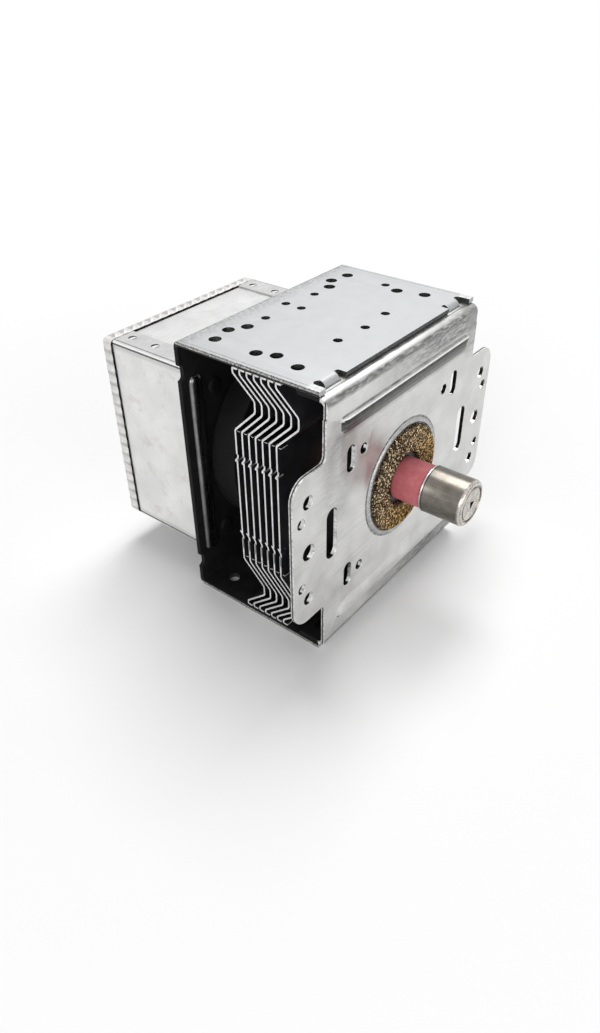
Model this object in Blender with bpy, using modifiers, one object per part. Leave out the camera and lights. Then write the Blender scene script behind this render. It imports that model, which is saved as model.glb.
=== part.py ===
"""Magnetron of a microwave oven: vacuum tube, magnets, cooling fins, steel yoke and filter box.

Metres, +Z up. The antenna points to -Y and the filter box is at +Y. The origin is on the underside
of the yoke, in the middle of the yoke's width and depth, and the tube's axis runs along Y.
"""

import math

import bmesh
import bpy
from mathutils import Matrix, Vector

# Fits
GAP = 0.0003                    # left between two pieces that touch on the real product

# Flats round a circle, and points along a bend or a coil
LARGE = 32
MEDIUM = 24
SMALL = 16
HOLE = 14
TINY = 8
BEND_STEPS = 5
CORNER_STEPS = 3
COIL_STEPS = 8                  # points in one turn

# Steel yoke: top, rear and bottom in one bent strip
YOKE_WIDTH = 0.0800
YOKE_HEIGHT = 0.0910
YOKE_DEPTH = 0.0521
YOKE_SHEET = 0.0015
YOKE_BEND = 0.0020              # outer radius
EDGE_RECESS = 0.0012            # middle of the front edge lies this far behind its corners
NOTCH_DEPTH = 0.0042
FINGER_WIDTH = 0.0027           # at each end of the front edge
OUTER_NOTCH = 0.0025            # between finger and tongue
TONGUE_WIDTH = 0.0063
INNER_NOTCH = 0.0017            # between tongue and the middle of the edge
TONGUE_START = 0.0040           # where the tongue starts to roll down, behind the front edge
TONGUE_ROLL = 0.0020            # outer radius
WIDE_HOLE = 0.0037
NARROW_HOLE = 0.0027
BOTTOM_HOLE_PLACE = 0.0322
BOTTOM_HOLE_BACKS = (0.0091, 0.0390)
WALL_RIB_INSET = 0.0045         # from the side edge
WALL_RIB_HALF = 0.0320
WALL_RIB_WIDTH = 0.0030
WALL_RIB_RISE = 0.0008
SIDE_NOTCH_DEPTH = 0.0014
SIDE_NOTCH_HALF = 0.0025
SIDE_NOTCH_PLACE = 0.0352       # above and below the axis

# Mounting plate
PLATE_STAND = 0.0023            # face in front of the yoke's fingers
PLATE_SHEET = 0.0014
PLATE_BEND = 0.0025             # outer radius
FLANGE_DEPTH = 0.0100
EAR_SPAN = 0.1088
EAR_HEIGHT = 0.0510
EAR_RADIUS = 0.0060
SCREW_HOLE = 0.0052
SCREW_INSET = 0.0068            # from the ear's outer edge
UPPER_HOLE = 0.0042
UPPER_HOLE_AT = (0.0066, 0.0170)   # inset from the ear's edge, height
PIN_HOLE = 0.0032
PIN_HOLE_AT = (0.0036, 0.0115)
LONG_SLOT = (0.0050, 0.0176)
LONG_SLOT_INSET = 0.0107        # from the screw hole
SHORT_SLOT = (0.0038, 0.0086)
SHORT_SLOT_AT = (0.0284, 0.0210)
ROUND_HOLE = 0.0034
ROUND_HOLE_AT = (0.0222, 0.0213)
BEAD_HALF = 0.0345
BEAD_WIDTH = 0.0046
BEAD_RISE = 0.0009
BEAD_PLACE = 0.0329             # above and below the axis
COLLAR_OUTER = 0.0204
COLLAR_INNER = 0.0181
COLLAR_RISE = 0.0010

# Gasket of knitted wire
GASKET_OUTER = 0.0177
GASKET_BORE = 0.0098
GASKET_THICK = 0.0024

# Ring magnets
MAGNET_OUTER = 0.0290           # front
REAR_MAGNET_OUTER = 0.0312
MAGNET_BORE = 0.0110
MAGNET_THICK = 0.0100

# Anode, pole pieces and straps
ANODE_OUTER = 0.0195
ANODE_WALL = 0.0022
VANE_COUNT = 10
VANE_LENGTH = 0.0095            # along the tube
VANE_THICK = 0.0018
VANE_TIP = 0.0048               # radius of the space for the cathode
POLE_SHEET = 0.0016
POLE_DEPTH = 0.0086             # from flange to tip
POLE_SHOULDER = 0.0136          # radius where the cone starts
POLE_TIP_OUTER = 0.0066
STRAP_RADII = (0.0072, 0.0096)
STRAP_WIDTH = 0.0010
STRAP_HEIGHT = 0.0008

# Cathode
FILAMENT_RADIUS = 0.0020
FILAMENT_WIRE = 0.00035         # half its thickness
FILAMENT_TURNS = 5
HAT_RADIUS = 0.0036
HAT_THICK = 0.0011
LEAD_RADIUS = 0.0008
SIDE_LEAD_PLACE = 0.0026
STEM_LEAD_PLACE = 0.0040        # both leads, where they pass the stem

# Seals, ceramics and antenna
CUP_RADIUS = 0.0098
CUP_SHEET = 0.0005
CUP_LIP = 0.0007
CERAMIC_OUTER = 0.00705
CERAMIC_BORE = 0.0050
CERAMIC_LENGTH = 0.0100
SLEEVE_RADIUS = 0.0067
SLEEVE_SHEET = 0.0004
SLEEVE_LENGTH = 0.0070
CAP_SHEET = 0.0005
CAP_LENGTH = 0.0141
CAP_ROUND = 0.0011
CAP_DISH = 0.0003
TRIANGLE_HOLE = 0.0011          # radius through its corners
EXHAUST_RADIUS = 0.0020
EXHAUST_BORE = 0.0012
EXHAUST_LENGTH = 0.0060
ANTENNA_WIRE = 0.0007           # half its thickness
ANTENNA_HOLE_PLACE = 0.0100     # from the axis, in the front pole piece
STEM_RADIUS = 0.0092
STEM_LENGTH = 0.0110
STEM_START = 0.0018             # behind the rear face of the yoke
TERMINAL_RADIUS = 0.0019
TERMINAL_LENGTH = 0.0036

# Cooling fins
FIN_COUNT = 7
FIN_PITCH = 0.00255
FIN_SHEET = 0.0006
FIN_SHIFT = -0.00125            # middle fin from the middle of the anode
FIN_LIP = 0.0020
FIN_LIP_SET = 0.0005            # lip's bend in front of the fin's plane
FIN_LIP_DROP = 0.0019
FIN_OFFSET = 0.0080             # forward bend of the outer parts
FIN_SLOPE_DROP = 0.0075
FIN_ROOM = 0.0098               # height between lip and magnet that the slope's drop is for
FIN_CLEAR_OF_MAGNET = 0.0030
FIN_COLLAR_WALL = 0.0005
FIN_TAB_WIDTH = 0.0030
FIN_TAB_THICK = 0.0004
FIN_TAB_DROP = 0.0009           # below the bend
FIN_TAB_INSET = 0.0010          # from the fin's side edge

# Filter box and lid
BOX_WIDTH = 0.0690
BOX_HEIGHT = 0.0672
BOX_SHEET = 0.0008
BOX_REACH = 0.0391              # back of the lid behind the yoke
FLAP_WIDTH = 0.0090
FLAP_THICK = 0.0007
LID_SHEET = 0.0007
LID_SKIRT = 0.0035
CRIMP_PITCH = 0.0038
CRIMP_RISE = 0.0005
STEM_HOLE = 0.0120              # radius, in the yoke's rear wall and in the box
RIVET_SHARE = 2 / 3             # of the way from the stem's hole to the box's side
RIVET_INSET = 0.0070            # from the box's top
RIVET_SHANK = 0.0015
RIVET_HEAD = 0.0026
RIVET_HEAD_THICK = 0.0010

# Chokes
COIL_RADIUS = 0.0050
COIL_WIRE = 0.0007              # half its thickness
COIL_TURNS = 7
COIL_PITCH = 0.0032
COIL_START = -0.0150            # from the middle plane
COIL_PLACE = 0.0100             # above and below the axis
COIL_SETBACK = 0.0256           # behind the rear face of the yoke
CORE_RADIUS = 0.0036
CORE_LENGTH = 0.0280

# Feed-through capacitor on the right side of the box
CAPACITOR_SIZE = (0.0130, 0.0240)
CAPACITOR_INSIDE = 0.0120
CAPACITOR_OUTSIDE = 0.0125
SOCKET_WALL = 0.0020
SOCKET_DEPTH = 0.0102
CAPACITOR_PLATE = (0.0200, 0.0440)
CAPACITOR_PLATE_SHEET = 0.0008
CAPACITOR_RIVET_INSET = 0.0050  # from the plate's end
SMALL_RIVET_SHANK = 0.0011
SMALL_RIVET_HEAD = 0.0020
SMALL_RIVET_HEAD_THICK = 0.0008
STUD_RADIUS = 0.0012
STUD_LENGTH = 0.0045
STUD_PLACE = 0.0050             # above and below the axis
BLADE_WIDTH = 0.0063
BLADE_THICK = 0.0008
BLADE_LENGTH = 0.0088

# Places worked out from the sizes above
AXIS_Z = YOKE_HEIGHT / 2
YOKE_FRONT = -YOKE_DEPTH / 2
YOKE_REAR = YOKE_DEPTH / 2
PLATE_FACE = YOKE_FRONT - PLATE_STAND
PLATE_BACK = PLATE_FACE + PLATE_SHEET
WALL_INSIDE = YOKE_REAR - YOKE_SHEET
FRONT_POLE = PLATE_BACK + 2 * GAP + MAGNET_THICK
REAR_POLE = WALL_INSIDE - 2 * GAP - MAGNET_THICK
TUBE_MIDDLE = (FRONT_POLE + REAR_POLE) / 2
ANODE_HALF = (REAR_POLE - FRONT_POLE) / 2 - POLE_SHEET - GAP
VANE_HALF = VANE_LENGTH / 2
CERAMIC_FRONT = PLATE_FACE - GAP - CERAMIC_LENGTH
CAP_REAR = CERAMIC_FRONT - GAP
CAP_TIP = CAP_REAR - CAP_LENGTH
SLEEVE_FRONT = CAP_REAR - SLEEVE_LENGTH
BOX_FRONT = YOKE_REAR + GAP
BOX_BACK = YOKE_REAR + BOX_REACH
STEM_FRONT = YOKE_REAR + STEM_START
STEM_BACK = STEM_FRONT + STEM_LENGTH
COIL_Y = YOKE_REAR + COIL_SETBACK
BOX_MIDDLE = (BOX_FRONT + BOX_BACK) / 2
BOX_SIDE = BOX_WIDTH / 2
BOX_TOP = BOX_HEIGHT / 2
RIVET_PLACE = (STEM_HOLE + RIVET_SHARE * (BOX_SIDE - STEM_HOLE), BOX_TOP - RIVET_INSET)
SCREW_PLACE = EAR_SPAN / 2 - SCREW_INSET
CAPACITOR_RIVET_PLACE = CAPACITOR_PLATE[1] / 2 - CAPACITOR_RIVET_INSET


def clear_scene():
    for obj in list(bpy.data.objects):
        bpy.data.objects.remove(obj, do_unlink=True)


def new_collection(name):
    collection = bpy.data.collections.new(name)
    bpy.context.scene.collection.children.link(collection)
    return collection


def finish(name, colour, roughness, metallic):
    """A plain Principled material."""
    material = bpy.data.materials.new(name)
    material.use_nodes = True
    shader = material.node_tree.nodes["Principled BSDF"]
    shader.inputs["Base Color"].default_value = (*colour, 1.0)
    shader.inputs["Roughness"].default_value = roughness
    shader.inputs["Metallic"].default_value = metallic
    material.diffuse_color = (*colour, 1.0)
    return material


clear_scene()
PARTS = new_collection("magnetron")
CUTTERS = new_collection("cutters")

ZINC = finish("zinc_plated_steel", (0.62, 0.64, 0.66), 0.38, 0.9)
ALUMINIUM = finish("fin_aluminium", (0.80, 0.81, 0.82), 0.35, 1.0)
FERRITE = finish("ferrite", (0.05, 0.05, 0.055), 0.7, 0.0)
COPPER = finish("copper", (0.72, 0.40, 0.28), 0.35, 1.0)
POLE_STEEL = finish("pole_steel", (0.50, 0.50, 0.50), 0.4, 1.0)
SEAL_METAL = finish("seal_metal", (0.66, 0.64, 0.60), 0.35, 1.0)
PINK_CERAMIC = finish("pink_ceramic", (0.62, 0.22, 0.25), 0.6, 0.0)
WHITE_CERAMIC = finish("white_ceramic", (0.85, 0.83, 0.80), 0.55, 0.0)
CAP_STEEL = finish("cap_steel", (0.62, 0.58, 0.53), 0.3, 1.0)
KNITTED_WIRE = finish("knitted_wire", (0.52, 0.38, 0.18), 0.5, 0.8)
TUNGSTEN = finish("tungsten", (0.42, 0.42, 0.43), 0.45, 1.0)
ENAMEL_WIRE = finish("enamelled_wire", (0.50, 0.20, 0.09), 0.35, 0.4)
HOUSING = finish("capacitor_plastic", (0.12, 0.16, 0.30), 0.5, 0.0)
TINNED = finish("tinned_brass", (0.74, 0.73, 0.70), 0.3, 1.0)


def link(obj, collection, material=None):
    collection.objects.link(obj)
    if collection is CUTTERS:
        obj.hide_render = True
        obj.display_type = "WIRE"
    if material:
        obj.data.materials.append(material)
    return obj


def object_from(bm, name, collection=PARTS, material=None):
    """A new object from a bmesh, which is freed."""
    mesh = bpy.data.meshes.new(name)
    bm.to_mesh(mesh)
    bm.free()
    return link(bpy.data.objects.new(name, mesh), collection, material)


def boolean(obj, other, operation):
    modifier = obj.modifiers.new(other.name, "BOOLEAN")
    modifier.operation = operation
    modifier.solver = "EXACT"
    modifier.object = other


def cut(obj, *cutters):
    for cutter in cutters:
        boolean(obj, cutter, "DIFFERENCE")


def join(obj, *others):
    for other in others:
        boolean(obj, other, "UNION")


def solidify(obj, thickness):
    """Gives an open surface its wall on the side away from its normals."""
    modifier = obj.modifiers.new("wall", "SOLIDIFY")
    modifier.thickness = thickness
    modifier.offset = -1
    modifier.use_even_offset = True


def baked(obj):
    """The object's mesh with its modifiers, to be shared by copies."""
    bpy.context.view_layer.update()
    graph = bpy.context.evaluated_depsgraph_get()
    mesh = bpy.data.meshes.new_from_object(obj.evaluated_get(graph))
    mesh.name = obj.name + "_mesh"
    return mesh


def add_box(bm, low, high):
    """A box between two corners."""
    low, high = Vector(low), Vector(high)
    place = Matrix.Translation((low + high) / 2) @ Matrix.Diagonal((*(high - low), 1))
    return bmesh.ops.create_cube(bm, size=1, matrix=place)["verts"]


def box(name, low, high, collection=PARTS, material=None):
    bm = bmesh.new()
    add_box(bm, low, high)
    return object_from(bm, name, collection, material)


ALONG = {
    "X": Matrix.Rotation(math.radians(90), 4, "Y"),
    "Y": Matrix.Rotation(math.radians(-90), 4, "X"),
    "Z": Matrix.Identity(4),
}


def add_rod(bm, middle, radius, length, axis="Y", segments=HOLE):
    """A cylinder with its middle at a point."""
    return bmesh.ops.create_cone(
        bm, cap_ends=True, segments=segments, radius1=radius, radius2=radius, depth=length,
        matrix=Matrix.Translation(middle) @ ALONG[axis])["verts"]


def add_slot(bm, middle, width, height, length, axis="Y", segments=SMALL):
    """A bar with round ends that are up and down."""
    half_turn = math.pi / segments
    verts = add_rod(bm, middle, width / 2 / math.cos(half_turn), length, axis, segments)
    bmesh.ops.rotate(bm, verts=verts, cent=middle,
                     matrix=Matrix.Rotation(half_turn, 3, axis))
    stretch = (height - width) / 2
    for vert in verts:
        vert.co.z += stretch if vert.co.z > middle[2] else -stretch
    return verts


def turned(name, profile, steps=MEDIUM, collection=PARTS, material=None, closed=True):
    """A shape turned about the tube's axis, from (radius, y) points.

    The outer side comes first and runs towards +Y. A closed profile is a ring, and an open one
    starts and ends on the axis.
    """
    bm = bmesh.new()
    verts = [bm.verts.new((radius, 0, -y)) for radius, y in profile]
    for first, second in zip(verts, verts[1:]):
        bm.edges.new((first, second))
    if closed:
        bm.edges.new((verts[-1], verts[0]))
    obj = object_from(bm, name, collection, material)
    screw = obj.modifiers.new("turn", "SCREW")
    screw.axis = "Z"
    screw.steps = screw.render_steps = steps
    screw.use_merge_vertices = True
    screw.merge_threshold = 0.00001
    obj.rotation_euler = (math.radians(90), 0, 0)
    obj.location = (0, 0, AXIS_Z)
    return obj


def reflected(profile):
    """The same profile at the other end of the tube."""
    return [(radius, 2 * TUBE_MIDDLE - y) for radius, y in reversed(profile)]


def arc(centre, radius, start, end, steps):
    """Points on an arc in a plane, its angles in degrees."""
    angles = [math.radians(start + (end - start) * i / steps) for i in range(steps + 1)]
    return [(centre[0] + radius * math.cos(a), centre[1] + radius * math.sin(a)) for a in angles]


def wire(name, points, radius, material, sides=2):
    """A round wire through points, made a closed mesh."""
    curve = bpy.data.curves.new(name, "CURVE")
    curve.dimensions = "3D"
    curve.bevel_depth = radius
    curve.bevel_resolution = sides
    curve.use_fill_caps = True
    spline = curve.splines.new("POLY")
    spline.points.add(len(points) - 1)
    for point, place in zip(spline.points, points):
        point.co = (*place, 1)
    source = link(bpy.data.objects.new(name + "_route", curve), CUTTERS)
    bm = bmesh.new()
    mesh = baked(source)
    bm.from_mesh(mesh)
    bmesh.ops.remove_doubles(bm, verts=bm.verts, dist=0.00001)
    bmesh.ops.recalc_face_normals(bm, faces=bm.faces)
    bpy.data.objects.remove(source)
    bpy.data.meshes.remove(mesh)
    return object_from(bm, name, PARTS, material)


def bent_sheet(stations, path, outward):
    """An open bmesh: a path of (y, z) points drawn along X through the given stations."""
    bm = bmesh.new()
    verts = [bm.verts.new((stations[0], y, z)) for y, z in path]
    edges = [bm.edges.new(pair) for pair in zip(verts, verts[1:])]
    for before, after in zip(stations, stations[1:]):
        made = bmesh.ops.extrude_edge_only(bm, edges=edges)["geom"]
        moved = [item for item in made if isinstance(item, bmesh.types.BMVert)]
        edges = [item for item in made if isinstance(item, bmesh.types.BMEdge)]
        bmesh.ops.translate(bm, verts=moved, vec=(after - before, 0, 0))
    bmesh.ops.recalc_face_normals(bm, faces=bm.faces)
    turn_outwards(bm, outward)
    return bm


def turn_outwards(bm, outward):
    """Turns an open surface so that its lowest face looks along a direction."""
    bm.normal_update()
    lowest = min(bm.faces, key=lambda face: face.calc_center_median().z)
    if lowest.normal.dot(Vector(outward)) < 0:
        bmesh.ops.reverse_faces(bm, faces=bm.faces)


def both_halves(places):
    """The same (x, height) places left, right, above and below the axis."""
    return [(side * x, level * z) for x, z in places for side in (-1, 1) for level in (-1, 1)]


def top_holes():
    """Round holes of the yoke's top: x, distance from its rear face, diameter."""
    sides = [
        (0.0322, 0.0091, WIDE_HOLE), (0.0251, 0.0077, WIDE_HOLE), (0.0201, 0.0106, WIDE_HOLE),
        (0.0120, 0.0107, NARROW_HOLE), (0.0301, 0.0300, WIDE_HOLE),
        (0.0322, 0.0390, WIDE_HOLE), (0.0121, 0.0374, NARROW_HOLE),
    ]
    middle = [(0.0004, 0.0084, NARROW_HOLE), (0.0004, 0.0145, NARROW_HOLE),
              (0.0, 0.0384, NARROW_HOLE)]
    odd_pair = [(-0.0322, 0.0244, WIDE_HOLE), (0.0322, 0.0243, NARROW_HOLE)]
    mirrored = [(-x, y, size) for x, y, size in sides]
    return sides + mirrored + middle + odd_pair


def bottom_holes():
    """Round holes of the yoke's underside: x, distance from its rear face."""
    return [(side * BOTTOM_HOLE_PLACE, back) for side in (-1, 1) for back in BOTTOM_HOLE_BACKS]


def make_yoke():
    half = YOKE_WIDTH / 2
    finger = half - FINGER_WIDTH
    tongue_out = finger - OUTER_NOTCH
    tongue_in = tongue_out - TONGUE_WIDTH
    middle = tongue_in - INNER_NOTCH
    right = [middle, tongue_in, tongue_out, finger, half]
    stations = [-x for x in reversed(right)] + right

    edge = YOKE_FRONT + EDGE_RECESS
    roll = YOKE_FRONT + TONGUE_START
    notch = YOKE_FRONT + NOTCH_DEPTH + EDGE_RECESS / 2
    fronts = [YOKE_FRONT, edge, roll, notch]
    rear = YOKE_REAR - YOKE_BEND
    top = arc((rear, YOKE_HEIGHT - YOKE_BEND), YOKE_BEND, 90, 0, BEND_STEPS)
    bottom = arc((rear, YOKE_BEND), YOKE_BEND, 0, -90, BEND_STEPS)
    path = ([(y, YOKE_HEIGHT) for y in fronts] + top + bottom
            + [(y, 0) for y in reversed(fronts)])
    bm = bent_sheet(stations, path, (0, 0, -1))

    def is_open(face):
        centre = face.calc_center_median()
        x = abs(centre.x)
        in_tongue = tongue_in < x < tongue_out
        in_notch = middle < x < finger and not in_tongue
        if in_notch:
            return centre.y < notch
        if in_tongue:
            return centre.y < roll
        return x < middle and centre.y < edge

    bmesh.ops.delete(bm, geom=[face for face in bm.faces if is_open(face)], context="FACES")
    for level, inward in ((YOKE_HEIGHT, -1), (0, 1)):
        roll_tongues(bm, level, inward, roll, tongue_in, tongue_out)
    yoke = object_from(bm, "yoke_frame", PARTS, ZINC)
    solidify(yoke, YOKE_SHEET)

    holes = bmesh.new()
    for x, back, size in top_holes():
        add_rod(holes, (x, YOKE_REAR - back, YOKE_HEIGHT), size / 2, 4 * YOKE_SHEET, "Z")
    for x, back in bottom_holes():
        add_rod(holes, (x, YOKE_REAR - back, 0), WIDE_HOLE / 2, 4 * YOKE_SHEET, "Z")
    for x, z in both_halves([RIVET_PLACE]):
        add_rod(holes, (x, YOKE_REAR, AXIS_Z + z), RIVET_SHANK + GAP, 4 * YOKE_SHEET)
    add_rod(holes, (0, YOKE_REAR, AXIS_Z), STEM_HOLE, 4 * YOKE_SHEET, "Y", MEDIUM)
    for x, z in both_halves([(half, SIDE_NOTCH_PLACE)]):
        add_slot(holes, (x, WALL_INSIDE, AXIS_Z + z), 2 * SIDE_NOTCH_DEPTH,
                 2 * SIDE_NOTCH_HALF, 4 * YOKE_SHEET, "Y", TINY)
    cut(yoke, object_from(holes, "cut_yoke_holes", CUTTERS))

    ribs, grooves = bmesh.new(), bmesh.new()
    for side in (-1, 1):
        at = side * (half - WALL_RIB_INSET)
        thick = 2 * WALL_RIB_RISE
        add_slot(ribs, (at, WALL_INSIDE, AXIS_Z), WALL_RIB_WIDTH, 2 * WALL_RIB_HALF, thick,
                 "Y", TINY)
        add_slot(grooves, (at, YOKE_REAR, AXIS_Z), WALL_RIB_WIDTH / 2,
                 2 * WALL_RIB_HALF - WALL_RIB_WIDTH, thick, "Y", TINY)
    join(yoke, object_from(ribs, "yoke_ribs", CUTTERS))
    cut(yoke, object_from(grooves, "cut_yoke_grooves", CUTTERS))


def roll_tongues(bm, level, inward, roll, tongue_in, tongue_out):
    """Draws the front edge of both tongues on, in a quarter roll towards the inside."""
    def on_edge(edge):
        middle = (edge.verts[0].co + edge.verts[1].co) / 2
        return (edge.is_boundary and abs(middle.y - roll) < 1e-5 and abs(middle.z - level) < 1e-5
                and tongue_in < abs(middle.x) < tongue_out)

    edges = [edge for edge in bm.edges if on_edge(edge)]
    quarter = arc((0, 0), TONGUE_ROLL, 0, 90, CORNER_STEPS)
    drop = TONGUE_ROLL / 4
    steps = [(-(sine_b - sine_a), inward * (cosine_a - cosine_b))
             for (cosine_a, sine_a), (cosine_b, sine_b) in zip(quarter, quarter[1:])]
    for back, down in steps + [(0, inward * drop)]:
        made = bmesh.ops.extrude_edge_only(bm, edges=edges)["geom"]
        verts = [item for item in made if isinstance(item, bmesh.types.BMVert)]
        edges = [item for item in made if isinstance(item, bmesh.types.BMEdge)]
        bmesh.ops.translate(bm, verts=verts, vec=(0, back, down))


def make_mounting_plate():
    half = YOKE_WIDTH / 2
    flange = YOKE_HEIGHT - YOKE_SHEET - GAP
    low = YOKE_SHEET + GAP
    ear_top = AXIS_Z + EAR_HEIGHT / 2
    ear_bottom = AXIS_Z - EAR_HEIGHT / 2
    bend_y = PLATE_FACE + PLATE_BEND
    path = ([(PLATE_FACE + FLANGE_DEPTH, flange)]
            + arc((bend_y, flange - PLATE_BEND), PLATE_BEND, 90, 180, BEND_STEPS)
            + [(PLATE_FACE, ear_top), (PLATE_FACE, ear_bottom)]
            + arc((bend_y, low + PLATE_BEND), PLATE_BEND, 180, 270, BEND_STEPS)
            + [(PLATE_FACE + FLANGE_DEPTH, low)])
    bm = bent_sheet([-half, half], path, (0, 0, -1))
    for side in (-1, 1):
        draw_ear(bm, side, half, ear_bottom, ear_top)
    plate = object_from(bm, "mounting_plate", PARTS, ZINC)
    solidify(plate, PLATE_SHEET)

    join(plate, plate_relief())
    cut(plate, plate_openings(half))


def draw_ear(bm, side, half, bottom, top):
    """Draws one side edge of the face out to the ear's edge and rounds its corners."""
    def on_edge(edge):
        a, b = edge.verts
        heights = sorted((a.co.z, b.co.z))
        return (abs(a.co.x - side * half) < 1e-5 and abs(b.co.x - side * half) < 1e-5
                and abs(heights[0] - bottom) < 1e-5 and abs(heights[1] - top) < 1e-5)

    edges = [edge for edge in bm.edges if on_edge(edge)]
    made = bmesh.ops.extrude_edge_only(bm, edges=edges)["geom"]
    verts = [item for item in made if isinstance(item, bmesh.types.BMVert)]
    bmesh.ops.translate(bm, verts=verts, vec=(side * (EAR_SPAN / 2 - half), 0, 0))
    bmesh.ops.bevel(bm, geom=verts, offset=EAR_RADIUS, offset_type="OFFSET",
                    segments=BEND_STEPS, profile=0.5, affect="VERTICES", material=-1)


def plate_relief():
    """Raised beads above and below, and the raised collar round the gasket."""
    bm = bmesh.new()
    for level in (-1, 1):
        middle = Vector((0, PLATE_FACE, AXIS_Z + level * BEAD_PLACE))
        verts = add_slot(bm, middle, BEAD_WIDTH, 2 * BEAD_HALF, 2 * BEAD_RISE)
        bmesh.ops.rotate(bm, verts=verts, cent=middle, matrix=Matrix.Rotation(math.pi / 2, 3, "Y"))
        front = [vert for vert in verts if vert.co.y < PLATE_FACE]
        for vert in front:
            vert.co.z = middle.z + (vert.co.z - middle.z) / 2
    relief = object_from(bm, "plate_relief", CUTTERS)
    top = PLATE_FACE - COLLAR_RISE
    seat = (PLATE_FACE + PLATE_BACK) / 2
    slope = COLLAR_RISE / 2
    collar = turned("plate_collar", [
        (COLLAR_OUTER - slope, top), (COLLAR_OUTER, PLATE_FACE), (COLLAR_OUTER, seat),
        (COLLAR_INNER, seat), (COLLAR_INNER, top)], LARGE, CUTTERS)
    join(relief, collar)
    return relief


def plate_openings(half):
    """Holes and slots of the mounting plate."""
    bm = bmesh.new()
    deep = 6 * PLATE_SHEET
    middle = (PLATE_FACE + PLATE_BACK) / 2
    edge = EAR_SPAN / 2
    rounds = [((edge - UPPER_HOLE_AT[0], UPPER_HOLE_AT[1]), UPPER_HOLE),
              ((edge - PIN_HOLE_AT[0], PIN_HOLE_AT[1]), PIN_HOLE), (ROUND_HOLE_AT, ROUND_HOLE)]
    for place, size in rounds:
        for x, z in both_halves([place]):
            add_rod(bm, (x, middle, AXIS_Z + z), size / 2, deep)
    for side in (-1, 1):
        add_rod(bm, (side * SCREW_PLACE, middle, AXIS_Z), SCREW_HOLE / 2, deep, "Y", SMALL)
        slot = side * (SCREW_PLACE - LONG_SLOT_INSET)
        add_slot(bm, (slot, middle, AXIS_Z), *LONG_SLOT, deep)
    for x, z in both_halves([SHORT_SLOT_AT]):
        add_slot(bm, (x, middle, AXIS_Z + z), *SHORT_SLOT, deep)
    add_rod(bm, (0, middle, AXIS_Z), MAGNET_BORE, deep, "Y", MEDIUM)
    add_tongue_slots(bm, half)
    return object_from(bm, "cut_plate_openings", CUTTERS)


def add_tongue_slots(bm, half):
    """Slots in both flanges, which the yoke's tongues reach into."""
    outer = half - FINGER_WIDTH - OUTER_NOTCH + GAP
    inner = outer - TONGUE_WIDTH - 2 * GAP
    tongue_front = YOKE_FRONT + TONGUE_START - TONGUE_ROLL
    front = tongue_front - GAP
    back = tongue_front + YOKE_SHEET + TONGUE_ROLL
    for side in (-1, 1):
        for level in (YOKE_SHEET, YOKE_HEIGHT - YOKE_SHEET):
            low = (min(side * inner, side * outer), front, level - 2 * PLATE_SHEET)
            high = (max(side * inner, side * outer), back, level + 2 * PLATE_SHEET)
            add_box(bm, low, high)


def make_magnets():
    rear = WALL_INSIDE - GAP - MAGNET_THICK
    for name, front, outer in (("front_magnet", PLATE_BACK + GAP, MAGNET_OUTER),
                               ("rear_magnet", rear, REAR_MAGNET_OUTER)):
        back = front + MAGNET_THICK
        chamfer = MAGNET_THICK / 12
        turned(name, [
            (outer - chamfer, front), (outer, front + chamfer), (outer, back - chamfer),
            (outer - chamfer, back), (MAGNET_BORE, back), (MAGNET_BORE, front)], LARGE,
            material=FERRITE)


def make_anode():
    front, back = TUBE_MIDDLE - ANODE_HALF, TUBE_MIDDLE + ANODE_HALF
    inner = ANODE_OUTER - ANODE_WALL
    anode = turned("anode_block", [(ANODE_OUTER, front), (ANODE_OUTER, back),
                                   (inner, back), (inner, front)], 3 * VANE_COUNT,
                   material=COPPER)
    bm = bmesh.new()
    root = inner + ANODE_WALL / 2
    for i in range(VANE_COUNT):
        verts = add_box(bm, (-VANE_THICK / 2, TUBE_MIDDLE - VANE_HALF, AXIS_Z + VANE_TIP),
                        (VANE_THICK / 2, TUBE_MIDDLE + VANE_HALF, AXIS_Z + root))
        bmesh.ops.rotate(bm, verts=verts, cent=(0, 0, AXIS_Z),
                         matrix=Matrix.Rotation(i * math.tau / VANE_COUNT, 3, "Y"))
    join(anode, object_from(bm, "anode_vanes", CUTTERS))


def make_straps():
    gap = VANE_HALF + GAP
    for end, low in (("front", TUBE_MIDDLE - gap - STRAP_HEIGHT), ("rear", TUBE_MIDDLE + gap)):
        for side, inner in zip(("inner", "outer"), STRAP_RADII):
            outer = inner + STRAP_WIDTH
            high = low + STRAP_HEIGHT
            turned(f"{end}_{side}_strap", [(outer, low), (outer, high), (inner, high),
                                           (inner, low)], SMALL, material=COPPER)


def make_pole_pieces():
    rim = ANODE_OUTER - GAP
    tip = FRONT_POLE + POLE_DEPTH
    bore = VANE_TIP
    profile = [
        (rim, FRONT_POLE), (rim, FRONT_POLE + POLE_SHEET),
        (POLE_SHOULDER + POLE_SHEET / 2, FRONT_POLE + POLE_SHEET),
        (POLE_TIP_OUTER + POLE_SHEET / 2, tip), (bore, tip), (bore, tip - POLE_SHEET),
        (POLE_TIP_OUTER, tip - POLE_SHEET), (POLE_SHOULDER, FRONT_POLE)]
    front = turned("front_pole_piece", profile, material=POLE_STEEL)
    turned("rear_pole_piece", reflected(profile), material=POLE_STEEL)
    bm = bmesh.new()
    add_rod(bm, (0, FRONT_POLE + POLE_DEPTH / 2, AXIS_Z + ANTENNA_HOLE_PLACE),
            3 * ANTENNA_WIRE, 2 * POLE_DEPTH, "Y", TINY)
    cut(front, object_from(bm, "cut_antenna_hole", CUTTERS))


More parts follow.
